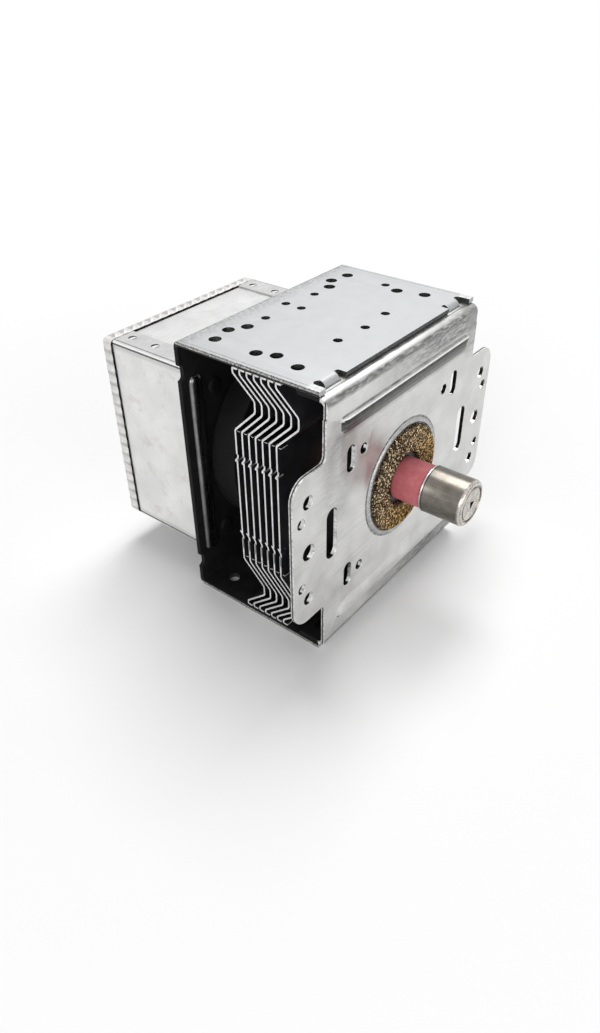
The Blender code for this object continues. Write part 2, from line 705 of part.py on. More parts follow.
def make_seal_cups():
    """Thin metal cups that join the pole pieces to the ceramics."""
    foot = FRONT_POLE - GAP
    inner = CUP_RADIUS - CUP_SHEET
    lip = CUP_RADIUS + CUP_LIP
    turned("front_seal_cup", [
        (CUP_RADIUS, PLATE_FACE), (CUP_RADIUS, foot - CUP_SHEET), (lip, foot - CUP_SHEET),
        (lip, foot), (inner, foot), (inner, PLATE_FACE + CUP_SHEET),
        (CERAMIC_BORE, PLATE_FACE + CUP_SHEET), (CERAMIC_BORE, PLATE_FACE)],
        material=SEAL_METAL)
    foot = REAR_POLE + GAP
    end = STEM_FRONT - GAP
    hole = STEM_LEAD_PLACE + 2 * LEAD_RADIUS
    turned("rear_seal_cup", [
        (lip, foot), (lip, foot + CUP_SHEET), (CUP_RADIUS, foot + CUP_SHEET),
        (CUP_RADIUS, end), (hole, end), (hole, end - CUP_SHEET), (inner, end - CUP_SHEET),
        (inner, foot)], material=SEAL_METAL)


def make_output():
    """Ceramic, sleeve, exhaust tube and cap of the antenna."""
    rear = PLATE_FACE - GAP
    turned("output_ceramic", [(CERAMIC_OUTER, CERAMIC_FRONT), (CERAMIC_OUTER, rear),
                              (CERAMIC_BORE, rear), (CERAMIC_BORE, CERAMIC_FRONT)], LARGE,
           material=PINK_CERAMIC)
    inner = SLEEVE_RADIUS - SLEEVE_SHEET
    hole = EXHAUST_RADIUS + GAP
    turned("antenna_sleeve", [
        (SLEEVE_RADIUS, SLEEVE_FRONT), (SLEEVE_RADIUS, CAP_REAR), (inner, CAP_REAR),
        (inner, SLEEVE_FRONT + SLEEVE_SHEET), (hole, SLEEVE_FRONT + SLEEVE_SHEET),
        (hole, SLEEVE_FRONT)], material=SEAL_METAL)
    tube_front = exhaust_front()
    tube_rear = tube_front + EXHAUST_LENGTH
    turned("exhaust_tube", [
        (0, tube_front), (EXHAUST_RADIUS / 2, tube_front),
        (EXHAUST_RADIUS, tube_front + EXHAUST_RADIUS), (EXHAUST_RADIUS, tube_rear),
        (EXHAUST_BORE, tube_rear), (EXHAUST_BORE, tube_front + EXHAUST_RADIUS + CAP_SHEET),
        (0, tube_front + EXHAUST_RADIUS)], SMALL, material=COPPER, closed=False)
    make_cap()


def exhaust_front():
    """The tube's closed end, halfway between the sleeve's end and the cap's face."""
    return (SLEEVE_FRONT + CAP_TIP + CAP_DISH + CAP_SHEET) / 2


def make_cap():
    inner = SLEEVE_RADIUS + GAP
    outer = inner + CAP_SHEET
    face_edge = outer - CAP_ROUND
    round_edge = arc((face_edge, CAP_TIP + CAP_ROUND), CAP_ROUND, -90, 0, CORNER_STEPS)
    dish = face_edge - CAP_ROUND
    face_back = CAP_TIP + CAP_DISH + CAP_SHEET
    cap = turned("antenna_cap", [
        (0, CAP_TIP + CAP_DISH), (dish - CAP_DISH, CAP_TIP + CAP_DISH), (dish, CAP_TIP)]
        + round_edge + [
        (outer, CAP_REAR), (inner, CAP_REAR), (inner, face_back + CAP_ROUND / 2),
        (inner - CAP_ROUND / 2, face_back), (0, face_back)], LARGE, material=CAP_STEEL,
        closed=False)
    bm = bmesh.new()
    add_rod(bm, (0, CAP_TIP, AXIS_Z), TRIANGLE_HOLE, 4 * (CAP_DISH + CAP_SHEET), "Y", 3)
    cut(cap, object_from(bm, "cut_triangle_hole", CUTTERS))


def make_antenna_lead():
    """The wire from the top vane through the front pole piece to the exhaust tube."""
    start = TUBE_MIDDLE - VANE_HALF - GAP
    high = ANTENNA_HOLE_PLACE + 2 * ANTENNA_WIRE
    end = exhaust_front() + EXHAUST_RADIUS + CAP_SHEET + 2 * GAP
    cone_y = FRONT_POLE + POLE_DEPTH / 2
    route = [
        (high, start), (high, start - 2 * ANTENNA_WIRE),
        (ANTENNA_HOLE_PLACE, cone_y + POLE_SHEET / 2),
        (ANTENNA_HOLE_PLACE - 2 * ANTENNA_WIRE, FRONT_POLE + POLE_SHEET),
        (CUP_RADIUS / 2, FRONT_POLE - CUP_RADIUS / 4), (ANTENNA_WIRE, PLATE_BACK + CUP_SHEET),
        (0, PLATE_FACE - ANTENNA_WIRE), (0, end)]
    wire("antenna_lead", [(0, y, AXIS_Z + z) for z, y in route], ANTENNA_WIRE, COPPER)


def make_cathode():
    """Filament between its two end hats, and the leads that carry them."""
    front = TUBE_MIDDLE - VANE_HALF
    back = TUBE_MIDDLE + VANE_HALF
    turned("front_end_hat", [(0, front - HAT_THICK), (HAT_RADIUS, front - HAT_THICK),
                             (HAT_RADIUS, front), (0, front)], SMALL,
           material=TUNGSTEN, closed=False)
    bore = LEAD_RADIUS + GAP
    turned("rear_end_hat", [(HAT_RADIUS, back), (HAT_RADIUS, back + HAT_THICK),
                            (bore, back + HAT_THICK), (bore, back)], SMALL,
           material=TUNGSTEN)

    ends = GAP + FILAMENT_WIRE
    first, last = front + ends, back - ends
    count = FILAMENT_TURNS * COIL_STEPS
    coil = [(FILAMENT_RADIUS * math.cos(i * math.tau / COIL_STEPS),
             first + (last - first) * i / count,
             AXIS_Z + FILAMENT_RADIUS * math.sin(i * math.tau / COIL_STEPS))
            for i in range(count + 1)]
    wire("filament", coil, FILAMENT_WIRE, TUNGSTEN, 1)

    cup_bend = REAR_POLE + 2 * LEAD_RADIUS
    spread = STEM_FRONT - 4 * LEAD_RADIUS
    tail = STEM_BACK + TERMINAL_LENGTH
    wire("centre_lead", [
        (0, front + GAP, AXIS_Z), (0, cup_bend, AXIS_Z),
        (0, spread, AXIS_Z + STEM_LEAD_PLACE), (0, tail, AXIS_Z + STEM_LEAD_PLACE)],
        LEAD_RADIUS, TUNGSTEN)
    wire("side_lead", [
        (0, back + HAT_THICK + GAP, AXIS_Z - SIDE_LEAD_PLACE),
        (0, cup_bend, AXIS_Z - SIDE_LEAD_PLACE), (0, spread, AXIS_Z - STEM_LEAD_PLACE),
        (0, tail, AXIS_Z - STEM_LEAD_PLACE)], LEAD_RADIUS, TUNGSTEN)


def make_stem():
    stem = turned("stem_ceramic", [
        (0, STEM_FRONT), (STEM_RADIUS, STEM_FRONT), (STEM_RADIUS, STEM_BACK), (0, STEM_BACK)],
        material=WHITE_CERAMIC, closed=False)
    bm = bmesh.new()
    middle = (STEM_FRONT + STEM_BACK) / 2
    for level in (-1, 1):
        add_rod(bm, (0, middle, AXIS_Z + level * STEM_LEAD_PLACE), LEAD_RADIUS + GAP,
                2 * STEM_LENGTH, "Y", TINY)
    cut(stem, object_from(bm, "cut_lead_holes", CUTTERS))
    front = STEM_BACK + GAP
    bore = LEAD_RADIUS + GAP
    for name, level in (("upper_stem_terminal", 1), ("lower_stem_terminal", -1)):
        terminal = turned(name, [
            (TERMINAL_RADIUS, front), (TERMINAL_RADIUS, front + TERMINAL_LENGTH),
            (bore, front + TERMINAL_LENGTH), (bore, front)], SMALL, material=TINNED)
        terminal.location.z += level * STEM_LEAD_PLACE


def fin_path():
    """Centre line of one fin, (y, height above the axis), from its upper lip to its lower one."""
    top = AXIS_Z - YOKE_SHEET - GAP
    bend = MAGNET_OUTER + FIN_CLEAR_OF_MAGNET
    lip_end = top - FIN_LIP_DROP
    share = (lip_end - bend) / FIN_ROOM
    slope_end = lip_end - share * (FIN_SLOPE_DROP - 2 * FIN_LIP_SET)
    lip = share * (FIN_OFFSET - FIN_LIP_SET) - FIN_OFFSET
    upper = [
        (lip - FIN_LIP, top), (lip, top), (lip, lip_end), (-FIN_OFFSET, slope_end),
        (-FIN_OFFSET, bend), (0, bend - FIN_OFFSET)]
    return upper + [(y, -z) for y, z in reversed(upper)]


def make_fins():
    half = YOKE_WIDTH / 2 - GAP
    path = [(y, AXIS_Z + z) for y, z in fin_path()]
    bm = bent_sheet([-half, half], path, (0, 0, -1))
    blank = object_from(bm, "fin_blank", CUTTERS)
    solidify(blank, FIN_SHEET)

    collar = FIN_PITCH - FIN_SHEET - GAP
    bore = ANODE_OUTER + GAP
    hub = bmesh.new()
    add_rod(hub, (0, (FIN_SHEET - collar) / 2, AXIS_Z), bore + FIN_COLLAR_WALL,
            FIN_SHEET + collar, "Y", MEDIUM)
    tab_z = MAGNET_OUTER + FIN_CLEAR_OF_MAGNET - FIN_OFFSET - FIN_TAB_DROP
    outer = half - FIN_TAB_INSET
    for side in (-1, 1):
        for level in (-1, 1):
            xs = sorted((side * outer, side * (outer - FIN_TAB_WIDTH)))
            zs = sorted((level * tab_z, level * (tab_z - FIN_TAB_THICK)))
            add_box(hub, (xs[0], -collar, AXIS_Z + zs[0]), (xs[1], FIN_SHEET / 2, AXIS_Z + zs[1]))
    join(blank, object_from(hub, "fin_hub", CUTTERS))
    hole = bmesh.new()
    add_rod(hole, (0, 0, AXIS_Z), bore, 6 * FIN_PITCH, "Y", MEDIUM)
    cut(blank, object_from(hole, "cut_fin_hub", CUTTERS))

    mesh = baked(blank)
    mesh.materials.clear()
    mesh.materials.append(ALUMINIUM)
    blank.hide_render = True
    middle = TUBE_MIDDLE + FIN_SHIFT
    for i in range(FIN_COUNT):
        fin = link(bpy.data.objects.new(f"cooling_fin_{i + 1}", mesh), PARTS)
        fin.location.y = middle + (i - (FIN_COUNT - 1) / 2) * FIN_PITCH


def make_gasket():
    rear = PLATE_FACE - GAP
    front = rear - GASKET_THICK
    edge = GASKET_THICK / 3
    turned("rf_gasket", [
        (GASKET_OUTER - 2 * edge, front), (GASKET_OUTER - edge / 2, front + edge),
        (GASKET_OUTER, front + 2 * edge), (GASKET_OUTER, rear), (GASKET_BORE, rear),
        (GASKET_BORE, front + edge), (GASKET_BORE + edge, front)], LARGE, material=KNITTED_WIRE)


def rivet_profile(front, back, shank, head, head_thick):
    """A rivet whose heads seat on two faces, as (radius, y) points."""
    return [
        (0, front - head_thick), (head / 2, front - head_thick),
        (head, front - head_thick / 2), (head, front), (shank, front), (shank, back),
        (head, back), (head, back + head_thick / 2), (head / 2, back + head_thick),
        (0, back + head_thick)]


def make_box_rivets():
    front, back = WALL_INSIDE - GAP, BOX_FRONT + BOX_SHEET + GAP
    profile = rivet_profile(front, back, RIVET_SHANK, RIVET_HEAD, RIVET_HEAD_THICK)
    for i, (x, z) in enumerate(both_halves([RIVET_PLACE])):
        rivet = turned(f"box_rivet_{i + 1}", profile, TINY, material=ZINC, closed=False)
        rivet.location.x = x
        rivet.location.z += z


def make_filter_box():
    back = BOX_BACK - LID_SHEET - GAP
    bm = bmesh.new()
    add_box(bm, (-BOX_SIDE, BOX_FRONT, AXIS_Z - BOX_TOP), (BOX_SIDE, back, AXIS_Z + BOX_TOP))
    bm.normal_update()
    rear = [face for face in bm.faces if face.normal.y > 0.5]
    bmesh.ops.delete(bm, geom=rear, context="FACES")
    shell = object_from(bm, "filter_box", PARTS, ZINC)
    solidify(shell, BOX_SHEET)

    flaps = bmesh.new()
    flap_back = BOX_BACK - LID_SKIRT - GAP
    for side in (-1, 1):
        for level in (-1, 1):
            xs = sorted((side * BOX_SIDE, side * (BOX_SIDE - FLAP_WIDTH)))
            zs = sorted((level * (BOX_TOP - BOX_SHEET / 2), level * (BOX_TOP + FLAP_THICK)))
            add_box(flaps, (xs[0], BOX_FRONT, AXIS_Z + zs[0]), (xs[1], flap_back, AXIS_Z + zs[1]))
    join(shell, object_from(flaps, "box_flaps", CUTTERS))

    holes = bmesh.new()
    add_rod(holes, (0, BOX_FRONT, AXIS_Z), STEM_HOLE, 6 * BOX_SHEET, "Y", MEDIUM)
    for x, z in both_halves([RIVET_PLACE]):
        add_rod(holes, (x, BOX_FRONT, AXIS_Z + z), RIVET_SHANK + GAP, 6 * BOX_SHEET)
    add_capacitor_holes(holes, BOX_SIDE, 6 * BOX_SHEET)
    cut(shell, object_from(holes, "cut_box_holes", CUTTERS))


def add_capacitor_holes(bm, x, deep):
    """The capacitor's hole and its two rivet holes, through a wall at x."""
    width, height = CAPACITOR_SIZE
    add_slot(bm, (x, BOX_MIDDLE, AXIS_Z), width + 2 * GAP, height + 2 * GAP, deep, "X")
    for level in (-1, 1):
        add_rod(bm, (x, BOX_MIDDLE, AXIS_Z + level * CAPACITOR_RIVET_PLACE),
                SMALL_RIVET_SHANK + GAP, deep, "X", TINY)


def rim_outline(half_x, half_z, wave):
    """Points round a rectangle, every second one pushed out by the wave's height."""
    points = []
    corners = [(half_x, -half_z), (half_x, half_z), (-half_x, half_z), (-half_x, -half_z)]
    for i, (x0, z0) in enumerate(corners):
        x1, z1 = corners[(i + 1) % 4]
        out = Vector((1, 0)), Vector((0, 1)), Vector((-1, 0)), Vector((0, -1))
        along = Vector((x1 - x0, z1 - z0))
        crimps = round(along.length / CRIMP_PITCH)
        points.append(Vector((x0, z0)))
        for k in range(crimps):
            for share, lift in ((0.25, 0), (0.75, 1)):
                at = Vector((x0, z0)) + along * (k + share) / crimps
                points.append(at + out[i] * wave * lift)
    return points


def add_rim(bm, points, front, back):
    """A prism of the outline between two places along Y."""
    verts = [bm.verts.new((x, front, AXIS_Z + z)) for x, z in points]
    bottom = bm.faces.new(verts)
    made = bmesh.ops.extrude_face_region(bm, geom=[bottom])["geom"]
    moved = [item for item in made if isinstance(item, bmesh.types.BMVert)]
    bmesh.ops.translate(bm, verts=moved, vec=(0, back - front, 0))
    bmesh.ops.recalc_face_normals(bm, faces=bm.faces)


def make_lid():
    inner_x, inner_z = BOX_SIDE + GAP, BOX_TOP + GAP
    front = BOX_BACK - LID_SKIRT
    bm = bmesh.new()
    add_rim(bm, rim_outline(inner_x + LID_SHEET, inner_z + LID_SHEET, CRIMP_RISE), front,
            BOX_BACK)
    lid = object_from(bm, "filter_lid", PARTS, ZINC)
    cut(lid, box("cut_lid_inside", (-inner_x, front - LID_SHEET, AXIS_Z - inner_z),
                 (inner_x, BOX_BACK - LID_SHEET, AXIS_Z + inner_z), CUTTERS))


def make_chokes():
    """Two coils on ferrite rods, from the stem's terminals to the capacitor's studs."""
    count = COIL_TURNS * COIL_STEPS
    stud_end = BOX_SIDE - CAPACITOR_INSIDE - GAP - STUD_LENGTH - GAP
    terminal_end = STEM_BACK + 2 * GAP + TERMINAL_LENGTH + GAP
    for name, level in (("upper", 1), ("lower", -1)):
        coil = [(COIL_START + COIL_PITCH * i / COIL_STEPS,
                 COIL_Y + COIL_RADIUS * math.cos(i * math.tau / COIL_STEPS),
                 COIL_PLACE + COIL_RADIUS * math.sin(i * math.tau / COIL_STEPS))
                for i in range(count + 1)]
        last = coil[-1]
        to_terminal = [
            (0, terminal_end, STEM_LEAD_PLACE),
            (0, terminal_end + 3 * COIL_WIRE, STEM_LEAD_PLACE),
            (COIL_START / 2, COIL_Y + COIL_RADIUS, STEM_LEAD_PLACE - 2 * COIL_WIRE),
            (COIL_START - COIL_PITCH / 2, COIL_Y + COIL_RADIUS, COIL_PLACE - COIL_RADIUS)]
        to_stud = [
            (last[0] + COIL_PITCH / 2, last[1], last[2] - COIL_RADIUS / 2),
            (stud_end - 3 * COIL_WIRE, BOX_MIDDLE, STUD_PLACE),
            (stud_end, BOX_MIDDLE, STUD_PLACE)]
        route = to_terminal + coil + to_stud
        wire(f"{name}_choke_coil", [(x, y, AXIS_Z + level * z) for x, y, z in route],
             COIL_WIRE, ENAMEL_WIRE, 0)
        bm = bmesh.new()
        middle = COIL_START + COIL_TURNS * COIL_PITCH / 2
        add_rod(bm, (middle, COIL_Y, AXIS_Z + level * COIL_PLACE), CORE_RADIUS, CORE_LENGTH, "X")
        object_from(bm, f"{name}_choke_core", PARTS, FERRITE)


def make_capacitor():
    width, height = CAPACITOR_SIZE
    plate_width, plate_height = CAPACITOR_PLATE
    plate_x = BOX_SIDE + GAP + CAPACITOR_PLATE_SHEET / 2
    bm = bmesh.new()
    add_slot(bm, (plate_x, BOX_MIDDLE, AXIS_Z), plate_width, plate_height,
             CAPACITOR_PLATE_SHEET, "X")
    plate = object_from(bm, "capacitor_plate", PARTS, ZINC)
    holes = bmesh.new()
    add_capacitor_holes(holes, plate_x, 4 * CAPACITOR_PLATE_SHEET)
    cut(plate, object_from(holes, "cut_capacitor_plate", CUTTERS))

    inner, outer = BOX_SIDE - CAPACITOR_INSIDE, BOX_SIDE + CAPACITOR_OUTSIDE
    bm = bmesh.new()
    add_slot(bm, ((inner + outer) / 2, BOX_MIDDLE, AXIS_Z), width, height, outer - inner, "X")
    body = object_from(bm, "capacitor_body", PARTS, HOUSING)
    floor = outer - SOCKET_DEPTH
    socket = bmesh.new()
    add_slot(socket, (outer, BOX_MIDDLE, AXIS_Z), width - 2 * SOCKET_WALL,
             height - 2 * SOCKET_WALL, 2 * SOCKET_DEPTH, "X")
    cut(body, object_from(socket, "cut_socket", CUTTERS))

    front = BOX_SIDE - BOX_SHEET - GAP
    back = BOX_SIDE + 2 * GAP + CAPACITOR_PLATE_SHEET
    profile = rivet_profile(-back, -front, SMALL_RIVET_SHANK, SMALL_RIVET_HEAD,
                            SMALL_RIVET_HEAD_THICK)
    for name, level in (("upper", 1), ("lower", -1)):
        z = AXIS_Z + level * STUD_PLACE
        bm = bmesh.new()
        add_rod(bm, (inner - GAP - STUD_LENGTH / 2, BOX_MIDDLE, z), STUD_RADIUS, STUD_LENGTH,
                "X", TINY)
        object_from(bm, f"{name}_capacitor_stud", PARTS, TINNED)
        low = floor + GAP
        box(f"{name}_terminal_blade", (low, BOX_MIDDLE - BLADE_WIDTH / 2, z - BLADE_THICK / 2),
            (low + BLADE_LENGTH, BOX_MIDDLE + BLADE_WIDTH / 2, z + BLADE_THICK / 2),
            PARTS, TINNED)
        rivet = turned(f"{name}_capacitor_rivet", profile, TINY, material=ZINC, closed=False)
        rivet.rotation_euler = (math.radians(90), 0, math.radians(90))
        rivet.location = (0, BOX_MIDDLE, AXIS_Z + level * CAPACITOR_RIVET_PLACE)


make_yoke()
make_mounting_plate()
make_magnets()
make_anode()
make_straps()
make_pole_pieces()
make_seal_cups()
make_output()
make_antenna_lead()
make_cathode()
make_stem()
make_fins()
make_gasket()
make_box_rivets()
make_filter_box()
make_lid()
make_chokes()
make_capacitor()
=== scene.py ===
import math

import bmesh
import bpy
from mathutils import Matrix, Vector, noise


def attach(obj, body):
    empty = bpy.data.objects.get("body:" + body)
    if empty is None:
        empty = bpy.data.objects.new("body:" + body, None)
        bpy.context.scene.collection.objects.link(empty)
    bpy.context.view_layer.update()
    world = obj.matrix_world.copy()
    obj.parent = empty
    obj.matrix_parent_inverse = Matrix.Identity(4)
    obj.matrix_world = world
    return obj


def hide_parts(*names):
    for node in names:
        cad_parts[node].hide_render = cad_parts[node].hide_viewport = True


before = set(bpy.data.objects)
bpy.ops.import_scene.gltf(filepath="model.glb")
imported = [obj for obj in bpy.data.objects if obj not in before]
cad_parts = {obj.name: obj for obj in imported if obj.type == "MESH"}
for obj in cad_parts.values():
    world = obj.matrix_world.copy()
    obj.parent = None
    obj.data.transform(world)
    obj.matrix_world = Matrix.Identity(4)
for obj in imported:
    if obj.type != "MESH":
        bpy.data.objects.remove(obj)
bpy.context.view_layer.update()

print("frame loaded")

# The shapes are modelled in millimetres, in the frame of the CAD, and finishPiece brings them to metres
axisHeight = 45.5        # the tube runs along Y at this height
roundSteps = 96
holeSteps = 40
through = 6              # length of a cutter that passes one sheet
tiny = 0.001             # two places this close are the same
close = 0.01
quarters = [(side, level) for side in (-1, 1) for level in (-1, 1)]


# Camera, lamps, floor

view = dict(
    place=(-0.17677, -0.12923, 0.18070),
    turn=(53.183, 0.65, -51.685),
    lens=26.7695,
    film=36.0,            # the frame's height
    clip=(0.01, 200),
)
studio = dict(
    skyLight=0.34,
    lamps=[                   # name, place, turn about X and Y, size along X and Y, power
        ("overheadLamp", (0.37, 0.21, 1.10), (-12.0, 18.5), (0.80, 0.46), 8.8),
        ("leftLamp", (-0.98, -0.40, 0.50), (17.0, -66.0), (0.50, 0.50), 4.4),
        ("frontLamp", (-0.30, -1.10, 0.40), (72.0, -20.0), (0.60, 0.60), 2.4),
    ],
    floorColour=(0.93, 0.93, 0.93, 1),
    floorReach=40.0,
    floorDrop=0.0002,
    fadeFrom=0.12,        # metres from the object's middle, where the floor starts to turn white
    fadeTo=0.30,
    mirrorFrom=0.05,      # the same, as metal shows the floor
    mirrorTo=0.16,
)


def addObject(name, data):
    item = bpy.data.objects.new(name, data)
    bpy.context.scene.collection.objects.link(item)
    return item


def plug(value, socket):             # links another node's output, or sets a plain value
    if isinstance(value, bpy.types.NodeSocket):
        socket.id_data.links.new(value, socket)
    else:
        socket.default_value = value


def addNode(tree, kind, sockets=None, **settings):
    node = tree.nodes.new("ShaderNode" + kind)
    for name, value in settings.items():
        setattr(node, name, value)
    for name, value in (sockets or {}).items():
        plug(value, node.inputs[name])
    return node


def combine(operation, first, second=0.0):
    return addNode(first.id_data, "Math", {0: first, 1: second}, operation=operation).outputs[0]


def multiply(first, *others):
    for other in others:
        first = combine("MULTIPLY", first, other)
    return first


def rescale(value, fromLow, fromHigh, toLow=0.0, toHigh=1.0):
    node = addNode(value.id_data, "MapRange", {"Value": value, "From Min": fromLow, "From Max": fromHigh,
                                               "To Min": toLow, "To Max": toHigh})
    return node.outputs["Result"]


def makeCamera():
    data = bpy.data.cameras.new("camera")
    data.lens = view["lens"]
    data.sensor_fit = "VERTICAL"
    data.sensor_height = view["film"]
    data.clip_start, data.clip_end = view["clip"]
    camera = addObject("camera", data)
    camera.location = view["place"]
    camera.rotation_euler = [math.radians(angle) for angle in view["turn"]]
    bpy.context.scene.camera = camera


def makeLamps():
    for name, place, turn, size, power in studio["lamps"]:
        data = bpy.data.lights.new(name, "AREA")
        data.shape = "RECTANGLE"
        data.size, data.size_y = size
        data.energy = power
        lamp = addObject(name, data)
        lamp.location = place
        lamp.rotation_euler = (math.radians(turn[0]), math.radians(turn[1]), 0)


def makeSky():                       # white to the eye and in metal, dimmer as a light
    world = bpy.data.worlds.new("sky")
    bpy.context.scene.world = world
    world.use_nodes = True
    tree = world.node_tree
    tree.nodes.clear()
    light, seen = [addNode(tree, "Background", {"Color": (1, 1, 1, 1), "Strength": strength}).outputs[0]
                   for strength in (studio["skyLight"], 1.0)]
    rays = addNode(tree, "LightPath").outputs
    shown = combine("MAXIMUM", rays["Is Camera Ray"], rays["Is Glossy Ray"])
    shown = combine("MAXIMUM", shown, rays["Is Transmission Ray"])
    mix = addNode(tree, "MixShader", {0: shown, 1: light, 2: seen})
    addNode(tree, "OutputWorld", {"Surface": mix.outputs[0]})


def makeFloor():
    material, tree, shader = newFinish("paleFloor", Base_Color=studio["floorColour"], Roughness=0.9,
                                       Specular_IOR_Level=0.0)
    place = addNode(tree, "TexCoord").outputs["Object"]
    reach = addNode(tree, "VectorMath", {0: place}, operation="LENGTH").outputs["Value"]
    rays = addNode(tree, "LightPath").outputs
    seen = multiply(rescale(reach, studio["fadeFrom"], studio["fadeTo"]), rays["Is Camera Ray"])
    shown = multiply(rescale(reach, studio["mirrorFrom"], studio["mirrorTo"]), rays["Is Glossy Ray"])
    white = addNode(tree, "Emission", {"Color": (1, 1, 1, 1), "Strength": 1.0})
    mix = addNode(tree, "MixShader", {0: combine("MAXIMUM", seen, shown), 1: shader.outputs[0],
                                      2: white.outputs[0]})
    plug(mix.outputs[0], tree.nodes["Material Output"].inputs["Surface"])
    bm = bmesh.new()
    bmesh.ops.create_circle(bm, cap_ends=True, segments=64, radius=studio["floorReach"])
    bmesh.ops.translate(bm, verts=bm.verts, vec=(0, 0, -studio["floorDrop"]))
    pieceFrom(bm, "floor", material)


# Finishes: patterns are read in millimetres from Object coordinates

def newFinish(name, **sockets):
    material = bpy.data.materials.new(name)
    material.use_nodes = True
    shader = material.node_tree.nodes["Principled BSDF"]
    for socket, value in sockets.items():
        shader.inputs[socket.replace("_", " ")].default_value = value
    return material, material.node_tree, shader


def endFinish(shader, colour, rough, bumps):         # a bump is (height, strength, depth in metres)
    plug(colour, shader.inputs["Base Color"])
    plug(rough, shader.inputs["Roughness"])
    normal = None
    for height, strength, depth in bumps:
        sockets = {"Height": height, "Strength": strength, "Distance": depth}
        if normal:
            sockets["Normal"] = normal
        normal = addNode(shader.id_data, "Bump", sockets).outputs["Normal"]
    plug(normal, shader.inputs["Normal"])


def surfacePlace(tree, stretch=(1, 1, 1), turn=(0, 0, 0)):
    place = addNode(tree, "TexCoord").outputs["Object"]
    node = addNode(tree, "Mapping", {"Vector": place, "Scale": [1000 * s for s in stretch],
                                     "Rotation": [math.radians(t) for t in turn]})
    return node.outputs["Vector"]


def grain(place, size, detail=3.0, roughness=0.55):
    node = addNode(place.id_data, "TexNoise", {"Vector": place, "Scale": 1 / size, "Detail": detail,
                                               "Roughness": roughness})
    return node.outputs["Fac"]


def patches(place, size, detail=3, toLow=0.0, toHigh=1.0):
    return rescale(grain(place, size, detail), 0.3, 0.7, toLow, toHigh)


def blend(share, low, high):         # a colour is a socket, (red, green, blue) or the tone of a grey
    node = addNode(share.id_data, "Mix", {0: share}, data_type="RGBA")
    for socket, value in ((node.inputs[6], low), (node.inputs[7], high)):
        if isinstance(value, tuple):
            value = (*value, 1)
        elif isinstance(value, float):
            value = (value, value, value, 1)
        plug(value, socket)
    return node.outputs[2]


def bandShare(value, centre, half, soft):
    away = combine("ABSOLUTE", combine("SUBTRACT", value, centre))
    return rescale(away, half, half + soft, 1, 0)


def measures(place):                 # distances that the marks are drawn by
    tree = place.id_data
    spot = addNode(tree, "SeparateXYZ", {"Vector": place}).outputs
    height = combine("SUBTRACT", spot[2], axisHeight)
    flat = addNode(tree, "CombineXYZ", {"X": spot[0], "Z": height})
    ring = addNode(tree, "VectorMath", {0: flat.outputs[0]}, operation="LENGTH").outputs["Value"]
    return {"side": combine("ABSOLUTE", spot[0]), "across": spot[0], "depth": spot[1],
            "level": combine("ABSOLUTE", height), "height": height, "ring": ring}


def addMarks(place, colour, marks, stretch, least):
    # a mark is (measure, centre, half width, softness, share, tone, limits)
    # and a limit is (measure, low, high), with a softness too if that isn't 0.3
    sizes = measures(place)
    patchy = rescale(grain(surfacePlace(place.id_data, stretch), 1.0), 0.3, 0.6, least, 1.0)
    for kind, centre, half, soft, share, tone, limits in marks:
        mark = multiply(bandShare(sizes[kind], centre, half, soft), share)
        for other, low, high, *fade in limits:
            reach = (high - low) / 2
            mark = multiply(mark, bandShare(sizes[other], low + reach, reach, *fade or [0.3]))
        colour = blend(multiply(mark, patchy), colour, tone)
    return colour


def sheetMetal(name, look):
    material, tree, shader = newFinish(name, Metallic=look["metallic"])
    place = surfacePlace(tree)
    colour = blend(patches(place, look["cloudSize"], 4), look["dark"], look["pale"])
    fine = grain(place, look["grainSize"], 2)
    lines = grain(surfacePlace(tree, look["lineStretch"]), 1.0, 2)
    scratch = grain(surfacePlace(tree, look["scratchStretch"], look["scratchTurn"]), 1.0)
    stain = grain(place, look["stainSize"], 5, 0.65)
    for kind, pattern, low, high in (("grain", fine, 0.3, 0.7), ("line", lines, 0.58, 0.72),
                                     ("scratch", scratch, 0.66, 0.72), ("stain", stain, 0.56, 0.72)):
        share = rescale(pattern, low, high, 0, look[kind + "Share"])
        colour = blend(share, colour, look[kind + "Colour"])
    sizes = measures(place)
    if look["worn"]:
        low, high, height, size, share, tone = look["worn"]
        patch = rescale(grain(place, size, 5, 0.7), 0.42, 0.62)
        inside = rescale(sizes["height"], height - 1, height)
        colour = blend(multiply(rescale(sizes["depth"], low, high), inside, patch, share), colour, tone)
    colour = addMarks(place, colour, look["marks"], look["markStretch"], look["markLeast"])
    # painted shade in the valleys of the lid's crimped flutes
    if look["fluteShade"]:
        pitch, side, share, tone = look["fluteShade"]
        along = blend(rescale(sizes["side"], *side), sizes["across"], sizes["height"])
        wave = combine("SINE", multiply(along, math.tau / pitch))
        colour = blend(rescale(wave, -0.9, 0.3, share, 0), colour, tone)
    endFinish(shader, colour, patches(place, look["cloudSize"] / 2, 3, *look["rough"]),
              [(grain(place, look["waveSize"], 2), look["wave"], look["waveDepth"]),
               (fine, look["bump"], look["bumpDepth"]), (scratch, look["bump"], look["bumpDepth"])])
    return material


